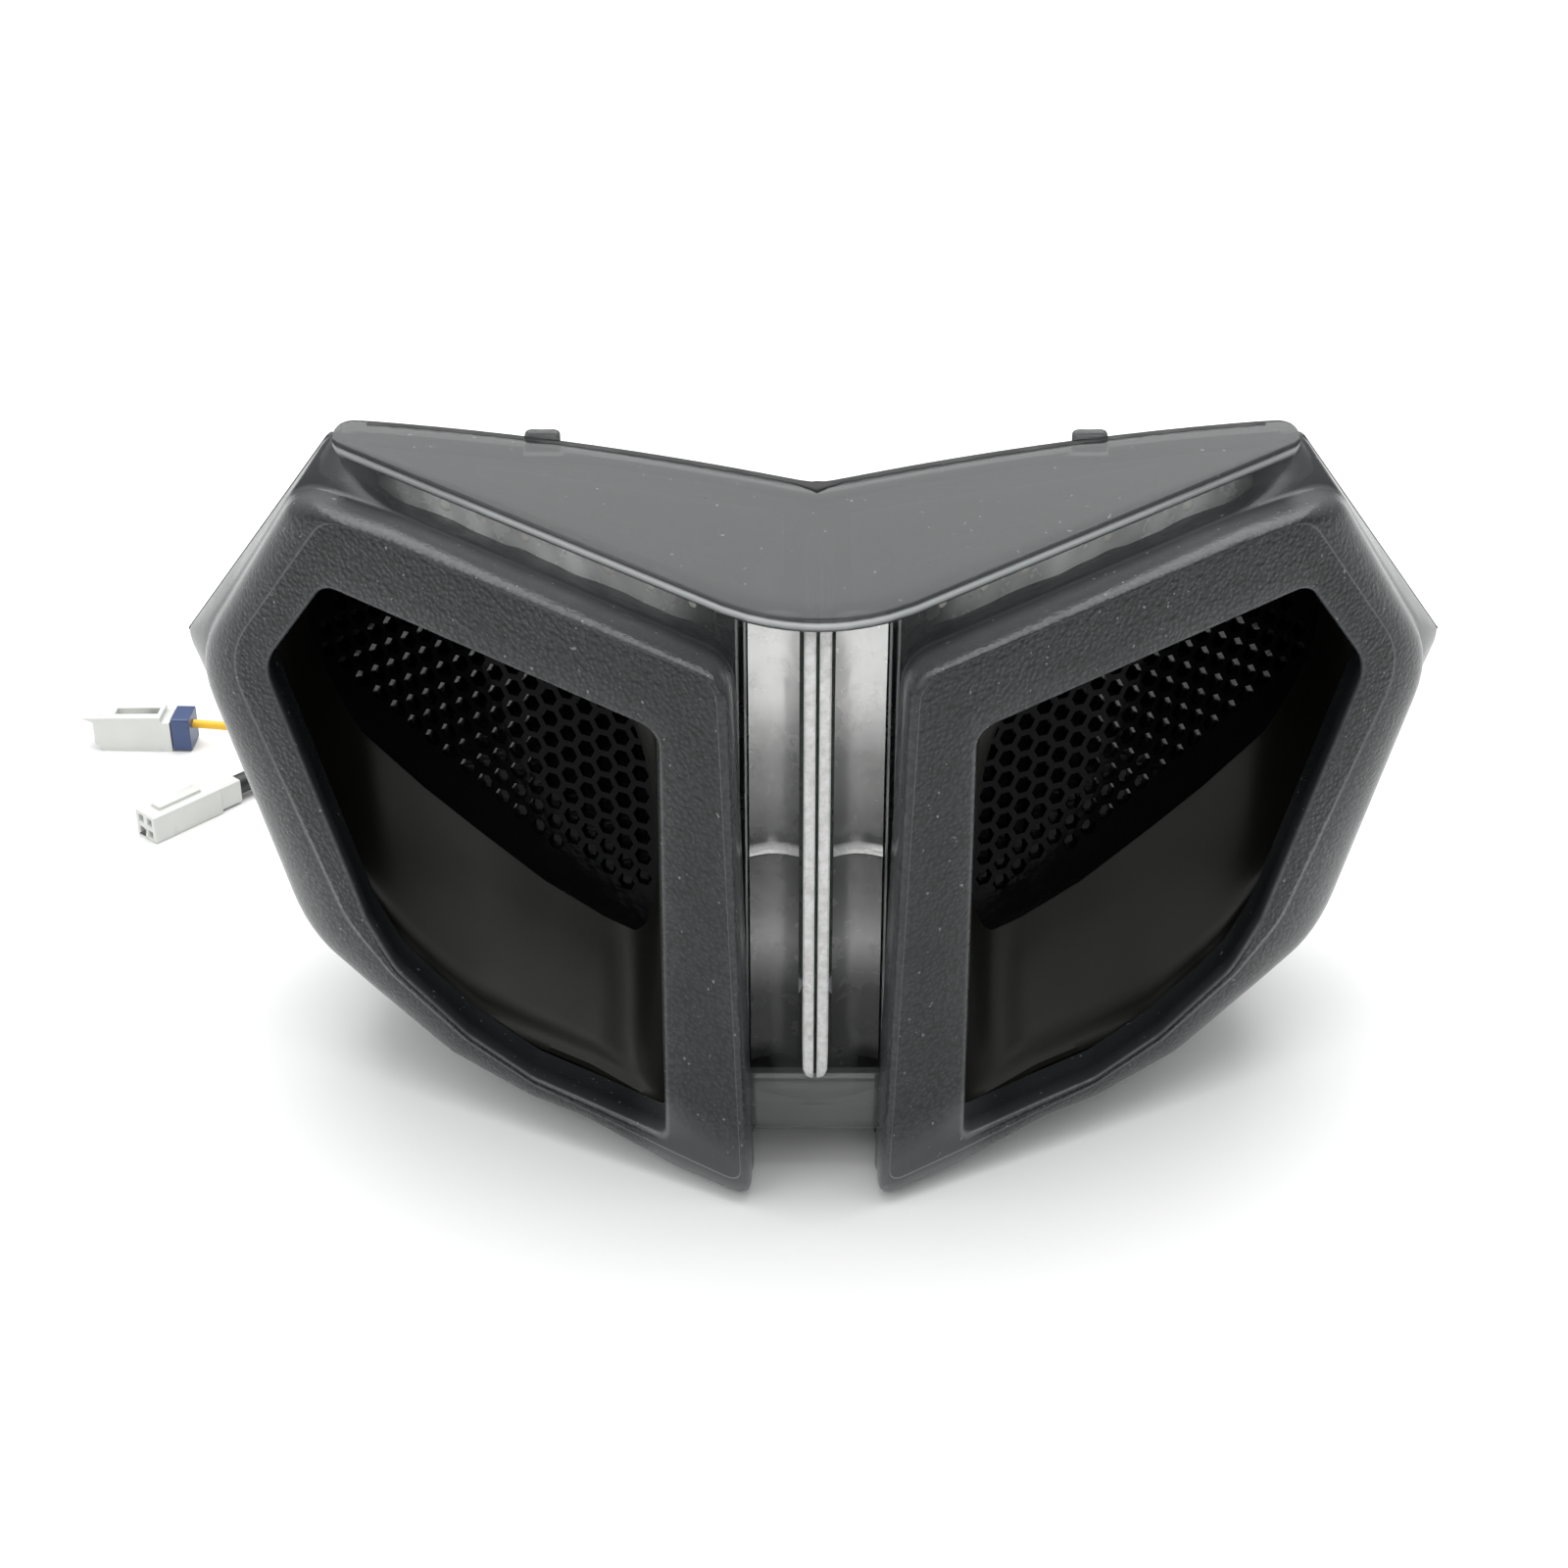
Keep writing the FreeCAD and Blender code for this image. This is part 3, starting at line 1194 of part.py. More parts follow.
insert = turned("rear_insert", [
    (size.insert_bore, 0), (size.insert_outer, 0), (size.insert_outer, size.insert_length - 2.0),
    (size.insert_outer - 0.4, size.insert_length - 1.6), (size.insert_outer - 0.4, size.insert_length - 0.8),
    (size.insert_outer, size.insert_length - 0.4), (size.insert_outer, size.insert_length),
    (size.insert_bore, size.insert_length),
])
copies("rear_inserts", insert, [Vector(x, REAR_END - size.insert_length, size.insert_z)
                                for x in (-size.insert_x, size.insert_x)], TO_REAR)
foot_places = [Vector(x, size.lug_y, size.pad_thickness) for x in (-size.lug_x, size.lug_x)]
foot_insert = turned("foot_insert", [
    (size.foot_insert_bore, 0), (size.foot_insert_outer, 0),
    (size.foot_insert_outer, size.foot_insert_length - 3.0),
    (size.foot_insert_outer - 0.5, size.foot_insert_length - 2.5),
    (size.foot_insert_outer - 0.5, size.foot_insert_length - 1.5),
    (size.foot_insert_outer, size.foot_insert_length - 1.0),
    (size.foot_insert_outer, size.foot_insert_length), (size.foot_insert_bore, size.foot_insert_length),
])
copies("foot_inserts", foot_insert, foot_places)
pad = turned("foot_pad", [
    (size.pad_bore, -size.pad_thickness), (size.pad_radius - 0.5, -size.pad_thickness),
    (size.pad_radius, 0.5 - size.pad_thickness), (size.pad_radius, 0), (size.pad_bore, 0),
])
copies("foot_pads", pad, foot_places)

half_x, half_y = size.lamp_window_width / 2, size.lamp_window_length / 2
near_y, far_y = size.lamp_window_y - half_y, size.lamp_window_y + half_y
floor_z = 12.4
window = box(Vector(size.gap - half_x, near_y + size.gap, 9.8),
             Vector(half_x - size.gap, far_y - size.gap, floor_z + 1.4))
window = window.fuse(box(Vector(-half_x - 2, near_y - 2, floor_z),
                         Vector(half_x + 2, far_y + 2, floor_z + 1.4)))
for x in (-7.0, 7.0):
    for y in (near_y + 2, far_y - 2):
        window = window.fuse(rod(Vector(x, y, floor_z + 1), Vector(x, y, size.lamp_board_z), 1.2))
part("number_plate_window", window.removeSplitter())
part("number_plate_board", box(Vector(-9.0, near_y, size.lamp_board_z),
                               Vector(9.0, far_y, size.lamp_board_z + size.board_thickness)))
part("number_plate_leds", Part.makeCompound([
    led(Vector(0, y, size.lamp_board_z), Vector(0, 0, -1), height=3.2)
    for y in (size.lamp_window_y - 7, size.lamp_window_y, size.lamp_window_y + 7)]))

part("connector_a", connector_a())
part("connector_a_retainer", connector_a_retainer())
part("connector_a_terminal", connector_a_terminal())
part("connector_b", connector_b())
part("connector_b_cover", connector_b_cover())
part("connector_b_terminals", connector_b_terminals())
part("lead_cable", tube(LEAD_ROUTE, size.sleeve_diameter / 2))
part("yellow_wire", tube(YELLOW_ROUTE, size.wire_diameter / 2))

doc.recompute()
for made in doc.Objects:
    if "Invalid" in made.State or "Error" in made.State:
        raise SystemExit(f"{made.Label} failed to compute")
os.makedirs("parts", exist_ok=True)
for label, made in parts.items():
    shape = made.Shape
    if shape.isNull() or not shape.isValid():
        raise SystemExit(f"{label} is not a valid solid")
    print(label, "solids", len(shape.Solids), "volume", round(shape.Volume), shape.BoundBox)
    shape.exportStep(f"parts/{label}.step")
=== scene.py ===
import json
import math

import bmesh
import bpy
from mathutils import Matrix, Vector


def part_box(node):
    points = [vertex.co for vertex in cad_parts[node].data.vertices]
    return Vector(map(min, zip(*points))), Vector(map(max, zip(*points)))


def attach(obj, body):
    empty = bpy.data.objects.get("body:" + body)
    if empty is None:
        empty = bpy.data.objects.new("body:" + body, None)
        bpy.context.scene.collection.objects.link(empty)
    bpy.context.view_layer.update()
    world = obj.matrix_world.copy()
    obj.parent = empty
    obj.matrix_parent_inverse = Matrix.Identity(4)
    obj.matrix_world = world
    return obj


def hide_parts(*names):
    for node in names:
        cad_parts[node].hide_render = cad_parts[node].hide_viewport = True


# Smoked LED tail light. Sizes are in millimetres in the lamp's own layout: X to the right,
# Z up, the lens faces -Y, and Y = 0 lies near the tips of the two window frames. at() moves
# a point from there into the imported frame, in metres.

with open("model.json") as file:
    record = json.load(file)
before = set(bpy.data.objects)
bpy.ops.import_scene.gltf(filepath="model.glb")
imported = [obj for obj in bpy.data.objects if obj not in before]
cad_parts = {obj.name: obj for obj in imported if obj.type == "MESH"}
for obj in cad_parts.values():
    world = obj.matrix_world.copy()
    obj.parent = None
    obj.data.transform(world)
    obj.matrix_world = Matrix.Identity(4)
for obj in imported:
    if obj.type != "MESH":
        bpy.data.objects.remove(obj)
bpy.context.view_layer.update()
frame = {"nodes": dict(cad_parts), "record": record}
scene = bpy.context.scene

MM = 0.001
SWEEP = math.tan(math.radians(28.0))
APEX_Y = -6.0
TIP_X = 10.6
LENS_FRONT = APEX_Y + TIP_X * SWEEP
BACK_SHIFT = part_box("smoked_lens")[0].y / MM - LENS_FRONT
BROW_BACK = 9.5
WALL = 2.2
SIDES = {"right": 1, "left": -1}


# ---------------------------------------------------------------- places and outlines
def at(x, y, z):
    return Vector((x, y + BACK_SHIFT, z)) * MM


def on_wing(point, back, side):
    """A point (x, z) of the swept plane that lies back mm behind the frame's face."""
    x, z = point
    return at(side * x, APEX_Y + x * SWEEP + back, z)


def plate_z(y):
    return 112.0 + 0.25 * y


def smooth(low, high, value):
    t = min(1.0, max(0.0, (value - low) / (high - low)))
    return t * t * (3 - 2 * t)


def rounded(corners, radii, per_corner=7, per_side=9):
    """Points round an outline. Outlines with as many corners get as many points."""
    corners = [Vector(c) for c in corners]
    count = len(corners)
    cuts = []
    for i, corner in enumerate(corners):
        back, on = corners[i - 1] - corner, corners[(i + 1) % count] - corner
        turn = math.pi - back.angle(on)
        reach = max(0.5, radii[i] * math.tan(turn / 2))
        cuts.append((corner + back.normalized() * min(reach, 0.46 * back.length),
                     corner + on.normalized() * min(reach, 0.46 * on.length)))
    points = []
    for i, corner in enumerate(corners):
        start, end = cuts[i]
        for k in range(per_corner):
            t = k / (per_corner - 1)
            points.append(start * (1 - t) ** 2 + corner * 2 * t * (1 - t) + end * t * t)
        after = cuts[(i + 1) % count][0]
        for k in range(1, per_side + 1):
            points.append(end.lerp(after, k / (per_side + 1)))
    return points


def grown(points, distance):
    """The outline moved outwards by distance, point by point."""
    count = len(points)
    area = sum(points[i - 1].x * points[i].y - points[i - 1].y * points[i].x for i in range(count))
    turn = 1 if area > 0 else -1
    moved = []
    for i, point in enumerate(points):
        along = (points[(i + 1) % count] - points[i - 1]).normalized()
        moved.append(point + Vector((along.y, -along.x)) * distance * turn)
    return moved


def between(one, other, share):
    return [a.lerp(b, share) for a, b in zip(one, other)]


# ---------------------------------------------------------------- mesh building
def finish_mesh(bm, name, sharp=38):
    bmesh.ops.remove_doubles(bm, verts=bm.verts, dist=1e-6)
    bmesh.ops.recalc_face_normals(bm, faces=bm.faces)
    mesh = bpy.data.meshes.new(name)
    bm.to_mesh(mesh)
    bm.free()
    for face in mesh.polygons:
        face.use_smooth = True
    mesh.set_sharp_from_angle(angle=math.radians(sharp))
    return mesh


def lofted(name, rings, tones=None, ring_closed=False, caps=True, loop_closed=True, sharp=38):
    """A skin through rings of points. tones gives each ring's share of grain and of painted light, a vertex
    tone that lightens the base colour.
    """
    bm = bmesh.new()
    grain = bm.verts.layers.float.new("grain")
    painted_light = bm.verts.layers.float.new("painted_light")
    rows = []
    for i, ring in enumerate(rings):
        row = [bm.verts.new(p) for p in ring]
        for k, vert in enumerate(row):
            tone = tones[i] if tones else (0.0, 0.0)
            vert[grain], vert[painted_light] = tone(k) if callable(tone) else tone
        rows.append(row)
    spans = len(rows) if ring_closed else len(rows) - 1
    for i in range(spans):
        a, b = rows[i], rows[(i + 1) % len(rows)]
        for k in range(len(a) if loop_closed else len(a) - 1):
            m = (k + 1) % len(a)
            bm.faces.new((a[k], a[m], b[m], b[k]))
    if caps and not ring_closed:
        bm.faces.new(rows[0])
        bm.faces.new(list(reversed(rows[-1])))
    return finish_mesh(bm, name, sharp)


def piece(name, mesh, material, slot, *nodes):
    made = bpy.data.objects.new(name, mesh)
    scene.collection.objects.link(made)
    mesh.materials.append(material)
    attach(made, "root")
    if nodes:
        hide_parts(*nodes)
    return made


def refined(node, material, slot, width):
    """The CAD node's shape with its edges rounded, as moulded or cut parts have them."""
    bm = bmesh.new()
    bm.from_mesh(frame["nodes"][node].data)
    bmesh.ops.remove_doubles(bm, verts=bm.verts, dist=2e-6)
    bmesh.ops.dissolve_limit(bm, angle_limit=math.radians(1.2), verts=bm.verts, edges=bm.edges)
    mesh = finish_mesh(bm, node + "_shape", 34)
    made = piece(node + "_body", mesh, material, slot, node)
    rounding = made.modifiers.new("rounding", "BEVEL")
    rounding.width = width * MM
    rounding.segments = 2
    rounding.angle_limit = math.radians(28)
    rounding.harden_normals = True
    rounding.use_clamp_overlap = True
    return made


# ---------------------------------------------------------------- materials
GRAIN_SCALE = 1350


def surface(name, color, roughness, ior=1.5, metallic=0.0, alpha=1.0, bumps=(),
            mottle=0.10, mottle_scale=60, wear=0.0, rough_spread=0.08, grained=False, painted_light=None):
    """A procedural finish: colour and roughness drift, and each bump has a scale and a height."""
    material = bpy.data.materials.new(name)
    material.use_nodes = True
    nodes, links = material.node_tree.nodes, material.node_tree.links
    shader = nodes["Principled BSDF"]
    for socket, value in (("IOR", ior), ("Metallic", metallic), ("Alpha", alpha)):
        shader.inputs[socket].default_value = value
    place = nodes.new("ShaderNodeTexCoord").outputs["Object"]

    def noise(scale, detail=3.0, rough=0.55):
        node = nodes.new("ShaderNodeTexNoise")
        node.inputs["Scale"].default_value = scale
        node.inputs["Detail"].default_value = detail
        node.inputs["Roughness"].default_value = rough
        links.new(place, node.inputs["Vector"])
        return node.outputs["Fac"]

    def ramped(source, low, high, from_low=0.3, from_high=0.7):
        node = nodes.new("ShaderNodeMapRange")
        for socket, value in (("From Min", from_low), ("From Max", from_high),
                              ("To Min", low), ("To Max", high)):
            node.inputs[socket].default_value = value
        links.new(source, node.inputs["Value"])
        return node.outputs["Result"]

    def mixed(fac, one, other):
        node = nodes.new("ShaderNodeMix")
        node.data_type = "RGBA"
        links.new(fac, node.inputs["Factor"])
        for socket, value in (("A", one), ("B", other)):
            target = [s for s in node.inputs if s.name == socket and s.type == "RGBA"][0]
            if hasattr(value, "links"):
                links.new(value, target)
            else:
                target.default_value = (*value, 1)
        return [s for s in node.outputs if s.type == "RGBA"][0]

    def attribute(called):
        node = nodes.new("ShaderNodeAttribute")
        node.attribute_name = called
        return node.outputs["Fac"]

    darker = tuple(c * (1 - mottle) for c in color)
    lighter = tuple(min(1.0, c * (1 + mottle)) for c in color)
    tint = mixed(ramped(noise(mottle_scale), 0, 1), darker, lighter)
    # painted light: a vertex tone mixes the base colour towards this colour, for painted highlights, painted
    # reflections and light painted through thin plastic
    if painted_light:
        tint = mixed(attribute("painted_light"), tint, painted_light)
    if grained:
        cells = nodes.new("ShaderNodeTexVoronoi")
        cells.feature = "SMOOTH_F1"
        cells.inputs["Scale"].default_value = GRAIN_SCALE
        links.new(place, cells.inputs["Vector"])
        pebble = ramped(cells.outputs["Distance"], 0.0, 1.0, 0.12, 0.62)
        weight = nodes.new("ShaderNodeMath")
        weight.operation = "MULTIPLY"
        links.new(pebble, weight.inputs[0])
        links.new(attribute("grain"), weight.inputs[1])
        tint = mixed(weight.outputs["Value"], tint, tuple(c * 0.25 for c in color))
    if wear:
        dust = ramped(noise(900, 1.0), 0, 1, 0.74, 0.78)
        tint = mixed(ramped(dust, 0, wear, 0, 1), tint, (0.55, 0.56, 0.55))
    links.new(tint, shader.inputs["Base Color"])

    rough = ramped(noise(mottle_scale * 3, 4.0), roughness - rough_spread, roughness + rough_spread)
    if grained:
        smooth_rough = ramped(noise(mottle_scale * 2, 3.0), 0.16, 0.26)
        blend = nodes.new("ShaderNodeMix")
        links.new(attribute("grain"), blend.inputs["Factor"])
        links.new(smooth_rough, blend.inputs[2])
        links.new(rough, blend.inputs[3])
        rough = blend.outputs[0]
    links.new(rough, shader.inputs["Roughness"])

    normal = None
    for kind, scale, height in bumps:
        if kind == "grain":
            cells = nodes.new("ShaderNodeTexVoronoi")
            cells.feature = "SMOOTH_F1"
            cells.inputs["Scale"].default_value = scale
            cells.inputs["Randomness"].default_value = 1.0
            links.new(place, cells.inputs["Vector"])
            source = cells.outputs["Distance"]
        else:
            source = noise(scale, 2.0 if kind == "wave" else 4.0)
        bump = nodes.new("ShaderNodeBump")
        bump.inputs["Distance"].default_value = height * MM
        if kind == "grain" and grained:
            links.new(attribute("grain"), bump.inputs["Strength"])
        links.new(source, bump.inputs["Height"])
        if normal:
            links.new(normal, bump.inputs["Normal"])
        normal = bump.outputs["Normal"]
    if normal:
        links.new(normal, shader.inputs["Normal"])
    return material


WAVE = ("wave", 45, 0.05)
# painted light: the frames' vertex tone lightens this smoked plastic towards a pale grey, for painted
# highlight lines along edges and creases and light painted through the thin rims and tips
SMOKE = surface("smoked_polycarbonate", (0.013, 0.0145, 0.0170), 0.36, ior=1.43, mottle=0.25,
                mottle_scale=35, bumps=(WAVE, ("grain", GRAIN_SCALE, 0.24), ("fine", 2600, 0.04)),
                grained=True, painted_light=(0.150, 0.158, 0.160), wear=0.25)
# painted highlight: where the plate's vertex tone is up, along its edges, the base colour is lightened
# towards this pale grey
PLATE = surface("smoked_plate", (0.034, 0.038, 0.039), 0.09, ior=1.40, alpha=0.80, mottle=0.05,
                painted_light=(0.62, 0.64, 0.64),
                mottle_scale=18, bumps=(("wave", 22, 0.03),), rough_spread=0.03, wear=0.2)
CLEAR_SMOKE = surface("clear_smoke", (0.16, 0.165, 0.167), 0.08, ior=1.56, alpha=0.12, mottle=0.2,
                      bumps=(("wave", 40, 0.10),), rough_spread=0.03, wear=0.3)
COLUMN_SMOKE = surface("column_smoke", (0.03, 0.031, 0.032), 0.05, ior=1.56, alpha=0.10,
                       bumps=(("wave", 30, 0.03),), rough_spread=0.02, wear=0.4)
LIP_SMOKE = surface("lip_smoke", (0.085, 0.09, 0.09), 0.16, ior=1.55, alpha=0.86,
                    bumps=(("wave", 60, 0.05),), rough_spread=0.05)
HOUSING = surface("housing_plastic", (0.014, 0.014, 0.015), 0.44, bumps=(("fine", 1800, 0.03), WAVE),
                  rough_spread=0.10, wear=0.12)
DUCT = surface("duct_plastic", (0.0062, 0.0060, 0.0046), 0.42, ior=1.36, bumps=(("fine", 1400, 0.02),),
               rough_spread=0.06, mottle=0.2, mottle_scale=12)
MESH = surface("mesh_plastic", (0.0022, 0.0022, 0.0026), 0.14, ior=1.13, bumps=(("wave", 260, 0.12),),
               rough_spread=0.07)
RUBBER = surface("black_rubber", (0.010, 0.010, 0.0105), 0.62, bumps=(("fine", 1500, 0.05),),
                 rough_spread=0.1)
CHROME = surface("vacuum_metal", (0.80, 0.81, 0.82), 0.16, metallic=1.0, mottle=0.06, mottle_scale=120,
                 bumps=(("wave", 220, 0.10), ("wave", 70, 0.16)), rough_spread=0.09)
BOARD = surface("solder_mask", (0.012, 0.055, 0.022), 0.30, bumps=(("fine", 900, 0.02),), mottle=0.25)
CLEAR = surface("frosted_guide", (0.90, 0.90, 0.88), 0.28, mottle=0.20, mottle_scale=760,
                bumps=(("fine", 1500, 0.30),), rough_spread=0.12, wear=0.5)
# painted highlight: the ribs' pale colour stands in for the light lines along the column's sides
RIB_PAINTED_HIGHLIGHT = surface("clear_rib_painted_highlight", (0.30, 0.31, 0.31), 0.10, alpha=0.75, bumps=(("wave", 160, 0.10),), mottle=0.5,
              mottle_scale=55, rough_spread=0.04)
LED_CLEAR = surface("clear_epoxy", (0.80, 0.80, 0.74), 0.09, alpha=0.75, bumps=(("wave", 500, 0.03),))
LED_RED = surface("red_epoxy", (0.60, 0.16, 0.12), 0.10, alpha=0.8, bumps=(("wave", 500, 0.03),))
CHIP = surface("chip_package", (0.018, 0.018, 0.019), 0.5, bumps=(("fine", 3000, 0.02),))
NYLON = surface("natural_nylon", (0.60, 0.61, 0.585), 0.33, mottle=0.05,
                bumps=(("fine", 900, 0.02), ("wave", 90, 0.05)))
BLUE = surface("blue_nylon", (0.035, 0.06, 0.15), 0.32, mottle=0.12, bumps=(("fine", 900, 0.02),))
TIN = surface("tinned_contact", (0.60, 0.60, 0.58), 0.32, metallic=1.0, bumps=(("fine", 1200, 0.03),))
# painted reflection: a dark, part-metal plating whose vertex tone lightens the base colour to near white, so
# most of its brightness is painted, not reflected
PAINTED_REFLECTION_PLATING = surface("column_plating_painted_reflection", (0.012, 0.012, 0.012), 0.24, metallic=0.35, mottle=0.10, mottle_scale=90,
                 painted_light=(0.98, 0.98, 0.97), bumps=(("wave", 110, 0.22), ("wave", 420, 0.05)), rough_spread=0.10)
STEEL = surface("zinc_steel", (0.48, 0.49, 0.51), 0.34, metallic=1.0, mottle=0.12,
                bumps=(("fine", 1500, 0.03),))
BRASS = surface("turned_brass", (0.68, 0.50, 0.22), 0.28, metallic=1.0, mottle=0.12,
                bumps=(("fine", 1500, 0.03),))
CABLE = surface("cable_sleeve", (0.016, 0.016, 0.017), 0.45, bumps=(("fine", 700, 0.05), ("wave", 150, 0.10)))
YELLOW = surface("yellow_insulation", (0.80, 0.47, 0.02), 0.36, mottle=0.08, bumps=(("fine", 900, 0.03),))

SLOT_MATERIALS = {
    "smoked_lens": SMOKE, "housing": HOUSING, "grille": MESH, "rubber": RUBBER, "bright": CHROME,
    "board": BOARD, "led_red": LED_RED, "led_clear": LED_CLEAR,
    "clear": CLEAR, "chip": CHIP, "white": NYLON, "retainer": BLUE, "tin": TIN, "steel": STEEL,
    "brass": BRASS, "cable": CABLE, "yellow": YELLOW,
}

# clear domes, unlit: the colour that their slot names is that of their light
NODE_MATERIALS = {"column_leds": LED_CLEAR, "left_turn_leds": LED_CLEAR, "right_turn_leds": LED_CLEAR}


def finish_nodes():
    """Every CAD node gets its own finish, where it has one, or else that of its slot in the record."""
    slots = {}
    for entry in frame["record"]["subparts"]:
        slots[entry["node"]] = entry["material_slot"]
    for name, node in frame["nodes"].items():
        wanted = NODE_MATERIALS.get(name, SLOT_MATERIALS.get(slots.get(name)))
        if wanted is None:
            continue
        node.data.materials.clear()
        node.data.materials.append(wanted)


# ---------------------------------------------------------------- camera
def make_camera():
    data = bpy.data.cameras.new("camera")
    data.lens = 58.88
    data.sensor_width = 36.0
    data.clip_start = 0.01
    camera = bpy.data.objects.new("camera", data)
    camera.location = (-0.0054, -0.4039, 0.2896)
    camera.rotation_euler = (math.radians(60.0), 0, 0)
    scene.collection.objects.link(camera)
    scene.camera = camera


# ---------------------------------------------------------------- leads
LEAD_ROUTE = [
    (-7.5, 104, 37), (-7.5, 114, 37), (-11.5, 125.5, 31), (-22.5, 134, 19.5), (-36.5, 139, 8.6),
    (-50, 144, 3.2), (-64, 148.5, 2.4), (-78, 152, 2.4), (-91.5, 154.5, 2.4), (-104, 155.2, 2.6),
    (-115, 152.4, 2.9), (-122.69, 148.84, 3.2), (-128.09, 142.93, 3.2),
]
YELLOW_ROUTE = [
    (-1.6, 104, 37), (-1.6, 115, 37), (-6.5, 129, 32.5), (-17.5, 141.5, 22.5), (-32.5, 151.5, 11.5),
    (-48.5, 160, 4), (-66, 166.5, 1.4), (-84, 170.8, 1.1), (-102, 172.3, 1.1), (-118, 171.3, 1.7),
    (-131.81, 167.49, 4.8), (-141.80, 167.84, 5.6),
]


def lead(name, route, diameter, material, node):
    data = bpy.data.curves.new(name, "CURVE")
    data.dimensions = "3D"
    data.resolution_u = 10
    data.bevel_depth = diameter * MM / 2
    data.bevel_resolution = 5
    data.use_fill_caps = True
    spline = data.splines.new("NURBS")
    spline.points.add(len(route) - 1)
    for point, place in zip(spline.points, route):
        point.co = (*at(*place), 1)
    spline.order_u = 3
    spline.use_endpoint_u = True
    data.materials.append(material)
    made = bpy.data.objects.new(name, data)
    scene.collection.objects.link(made)
    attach(made, "root")
    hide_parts(node)
    return made


# ---------------------------------------------------------------- outlines, right side, as (x, z)
FACE = [(16.2, 103.2), (70, 113.5), (81.5, 115.4), (103.2, 84), (84.4, 35.6), (76.6, 26.6),
        (62.8, 17.0), (50.5, 12.0), (40, 10.2), (25, 7.4), (13.0, 5.6)]
ROLL = [(13.6, 103.8), (70, 115.1), (87.4, 117.1), (110.8, 80), (94.2, 26.8), (83, 19.8),
        (67.3, 10.2), (51.4, 6.2), (42.5, 6.2), (24.6, 1.3), (11.0, 0.0)]
FLANGE = [(13.6, 104.6), (72, 116.3), (81.3, 125.3), (115.5, 77.4), (95.4, 25.0), (84, 18.0),
          (68, 9.0), (52, 5.8), (42.5, 5.6), (25, 2.6), (11.0, 3.2)]
WINDOW = [(25.7, 91.3), (70, 100.0), (83, 102.6), (96, 84), (80.6, 36.1), (75.5, 27.4),
          (62.3, 17.9), (50.2, 13.0), (40, 11.8), (26.4, 9.9), (26.3, 14.0)]
FACE_RADII = [5, 20, 6, 15, 18, 10, 8, 8, 8, 8, 2.5]
ROLL_RADII = [6, 20, 9, 18, 22, 10, 8, 8, 8, 8, 3]
FLANGE_RADII = [6, 4, 4, 3, 22, 10, 8, 8, 8, 8, 3]
WINDOW_RADII = [4, 20, 4, 8, 8, 10, 8, 8, 8, 1.5, 3]


def frame_shell(side_name):
    """One window frame: tunnel, grained face, rolled shoulder, side band and the inner return."""
    side = SIDES[side_name]
    window = rounded(WINDOW, WINDOW_RADII)
    face = rounded(FACE, FACE_RADII)
    roll = rounded(ROLL, ROLL_RADII)
    flange = rounded(FLANGE, FLANGE_RADII)
    rings, tones = [], []

    def ring(outline, back, grain=0.0, painted_light=0.0):
        rings.append([on_wing(p, back, side) for p in outline])

        # Each ring's tone gives the grain share and the painted light: painted highlight lines at the window
        # edge, the face-to-roll crease and the flange, and light painted through the thin outer rims, the
        # ungrained tips and the lower outer corner.
        def tone(k, outline=outline, grain=grain, painted_light=painted_light):
            x, z = outline[k]
            tip = smooth(13.5 + 0.36 * (x - 12), 10.5 + 0.36 * (x - 12), z) * smooth(34, 26, x)
            hip = smooth(60, 95, x) * smooth(70, 30, z)
            return grain * (1 - tip), min(1.0, painted_light * (0.55 + 0.75 * hip) + 0.55 * tip * (0.3 + painted_light))
        tones.append(tone)

    # each ring: outline, depth behind the face, grain share, painted light share
    ring(window, 9.2, painted_light=0.1)
    ring(window, 4.5)
    ring(window, 1.2, painted_light=0.2)
    ring(grown(window, 0.15), 0.55, 0.1, 0.5)
    ring(grown(window, 0.45), 0.18, 0.4, 0.5)
    ring(grown(window, 1.0), 0.0, 0.9, 0.15)
    ring(between(window, face, 0.40), 0.0, 1.0, 0.05)
    ring(between(window, face, 0.72), 0.0, 1.0, 0.05)
    ring(face, 0.0, 0.9, 0.10)
    ring(between(face, roll, 0.04), 0.01, 0.2, 1.0)
    ring(between(face, roll, 0.10), 0.06, 0.5, 0.15)
    for step in range(1, 9):
        turn = math.radians(90 * step / 8)
        outline = between(face, roll, math.sin(turn))
        ring(outline, 5.5 * (1 - math.cos(turn)), max(0.12, 0.8 - 0.12 * step), 0.18 + 0.06 * step)
    ring(grown(roll, 0.05), 8.2, 0.0, 0.30)
    ring(grown(roll, 0.20), 8.9, 0.0, 0.55)
    for share in (0.06, 0.3, 0.6, 0.9):
        ring(between(grown(roll, 0.35), flange, share), 9.1 + 7.4 * share ** 1.15, 0.0, 0.10 + 0.12 * share)
    ring(flange, 17.0, 0.0, 0.45)
    ring(grown(flange, -0.25), 17.35, 0.0, 0.3)
    ring(grown(flange, -1.6), 17.4)
    ring(grown(flange, -2.0), 15.0)
    ring(between(grown(roll, -2.2), grown(flange, -2.0), 0.3), 11.4)
    ring(grown(roll, -2.3), 8.5)
    ring(grown(roll, -2.9), 5.0)
    ring(between(grown(face, -0.4), window, 0.2), WALL)
    ring(grown(window, 1.7), WALL)
    ring(grown(window, 1.3), 9.2)
    return lofted("frame_" + side_name, rings, tones, ring_closed=True, sharp=50)


# ---------------------------------------------------------------- plate, brow, column and lip
NOSE_REACH = 15.68
NOSE_RADIUS = 30.0


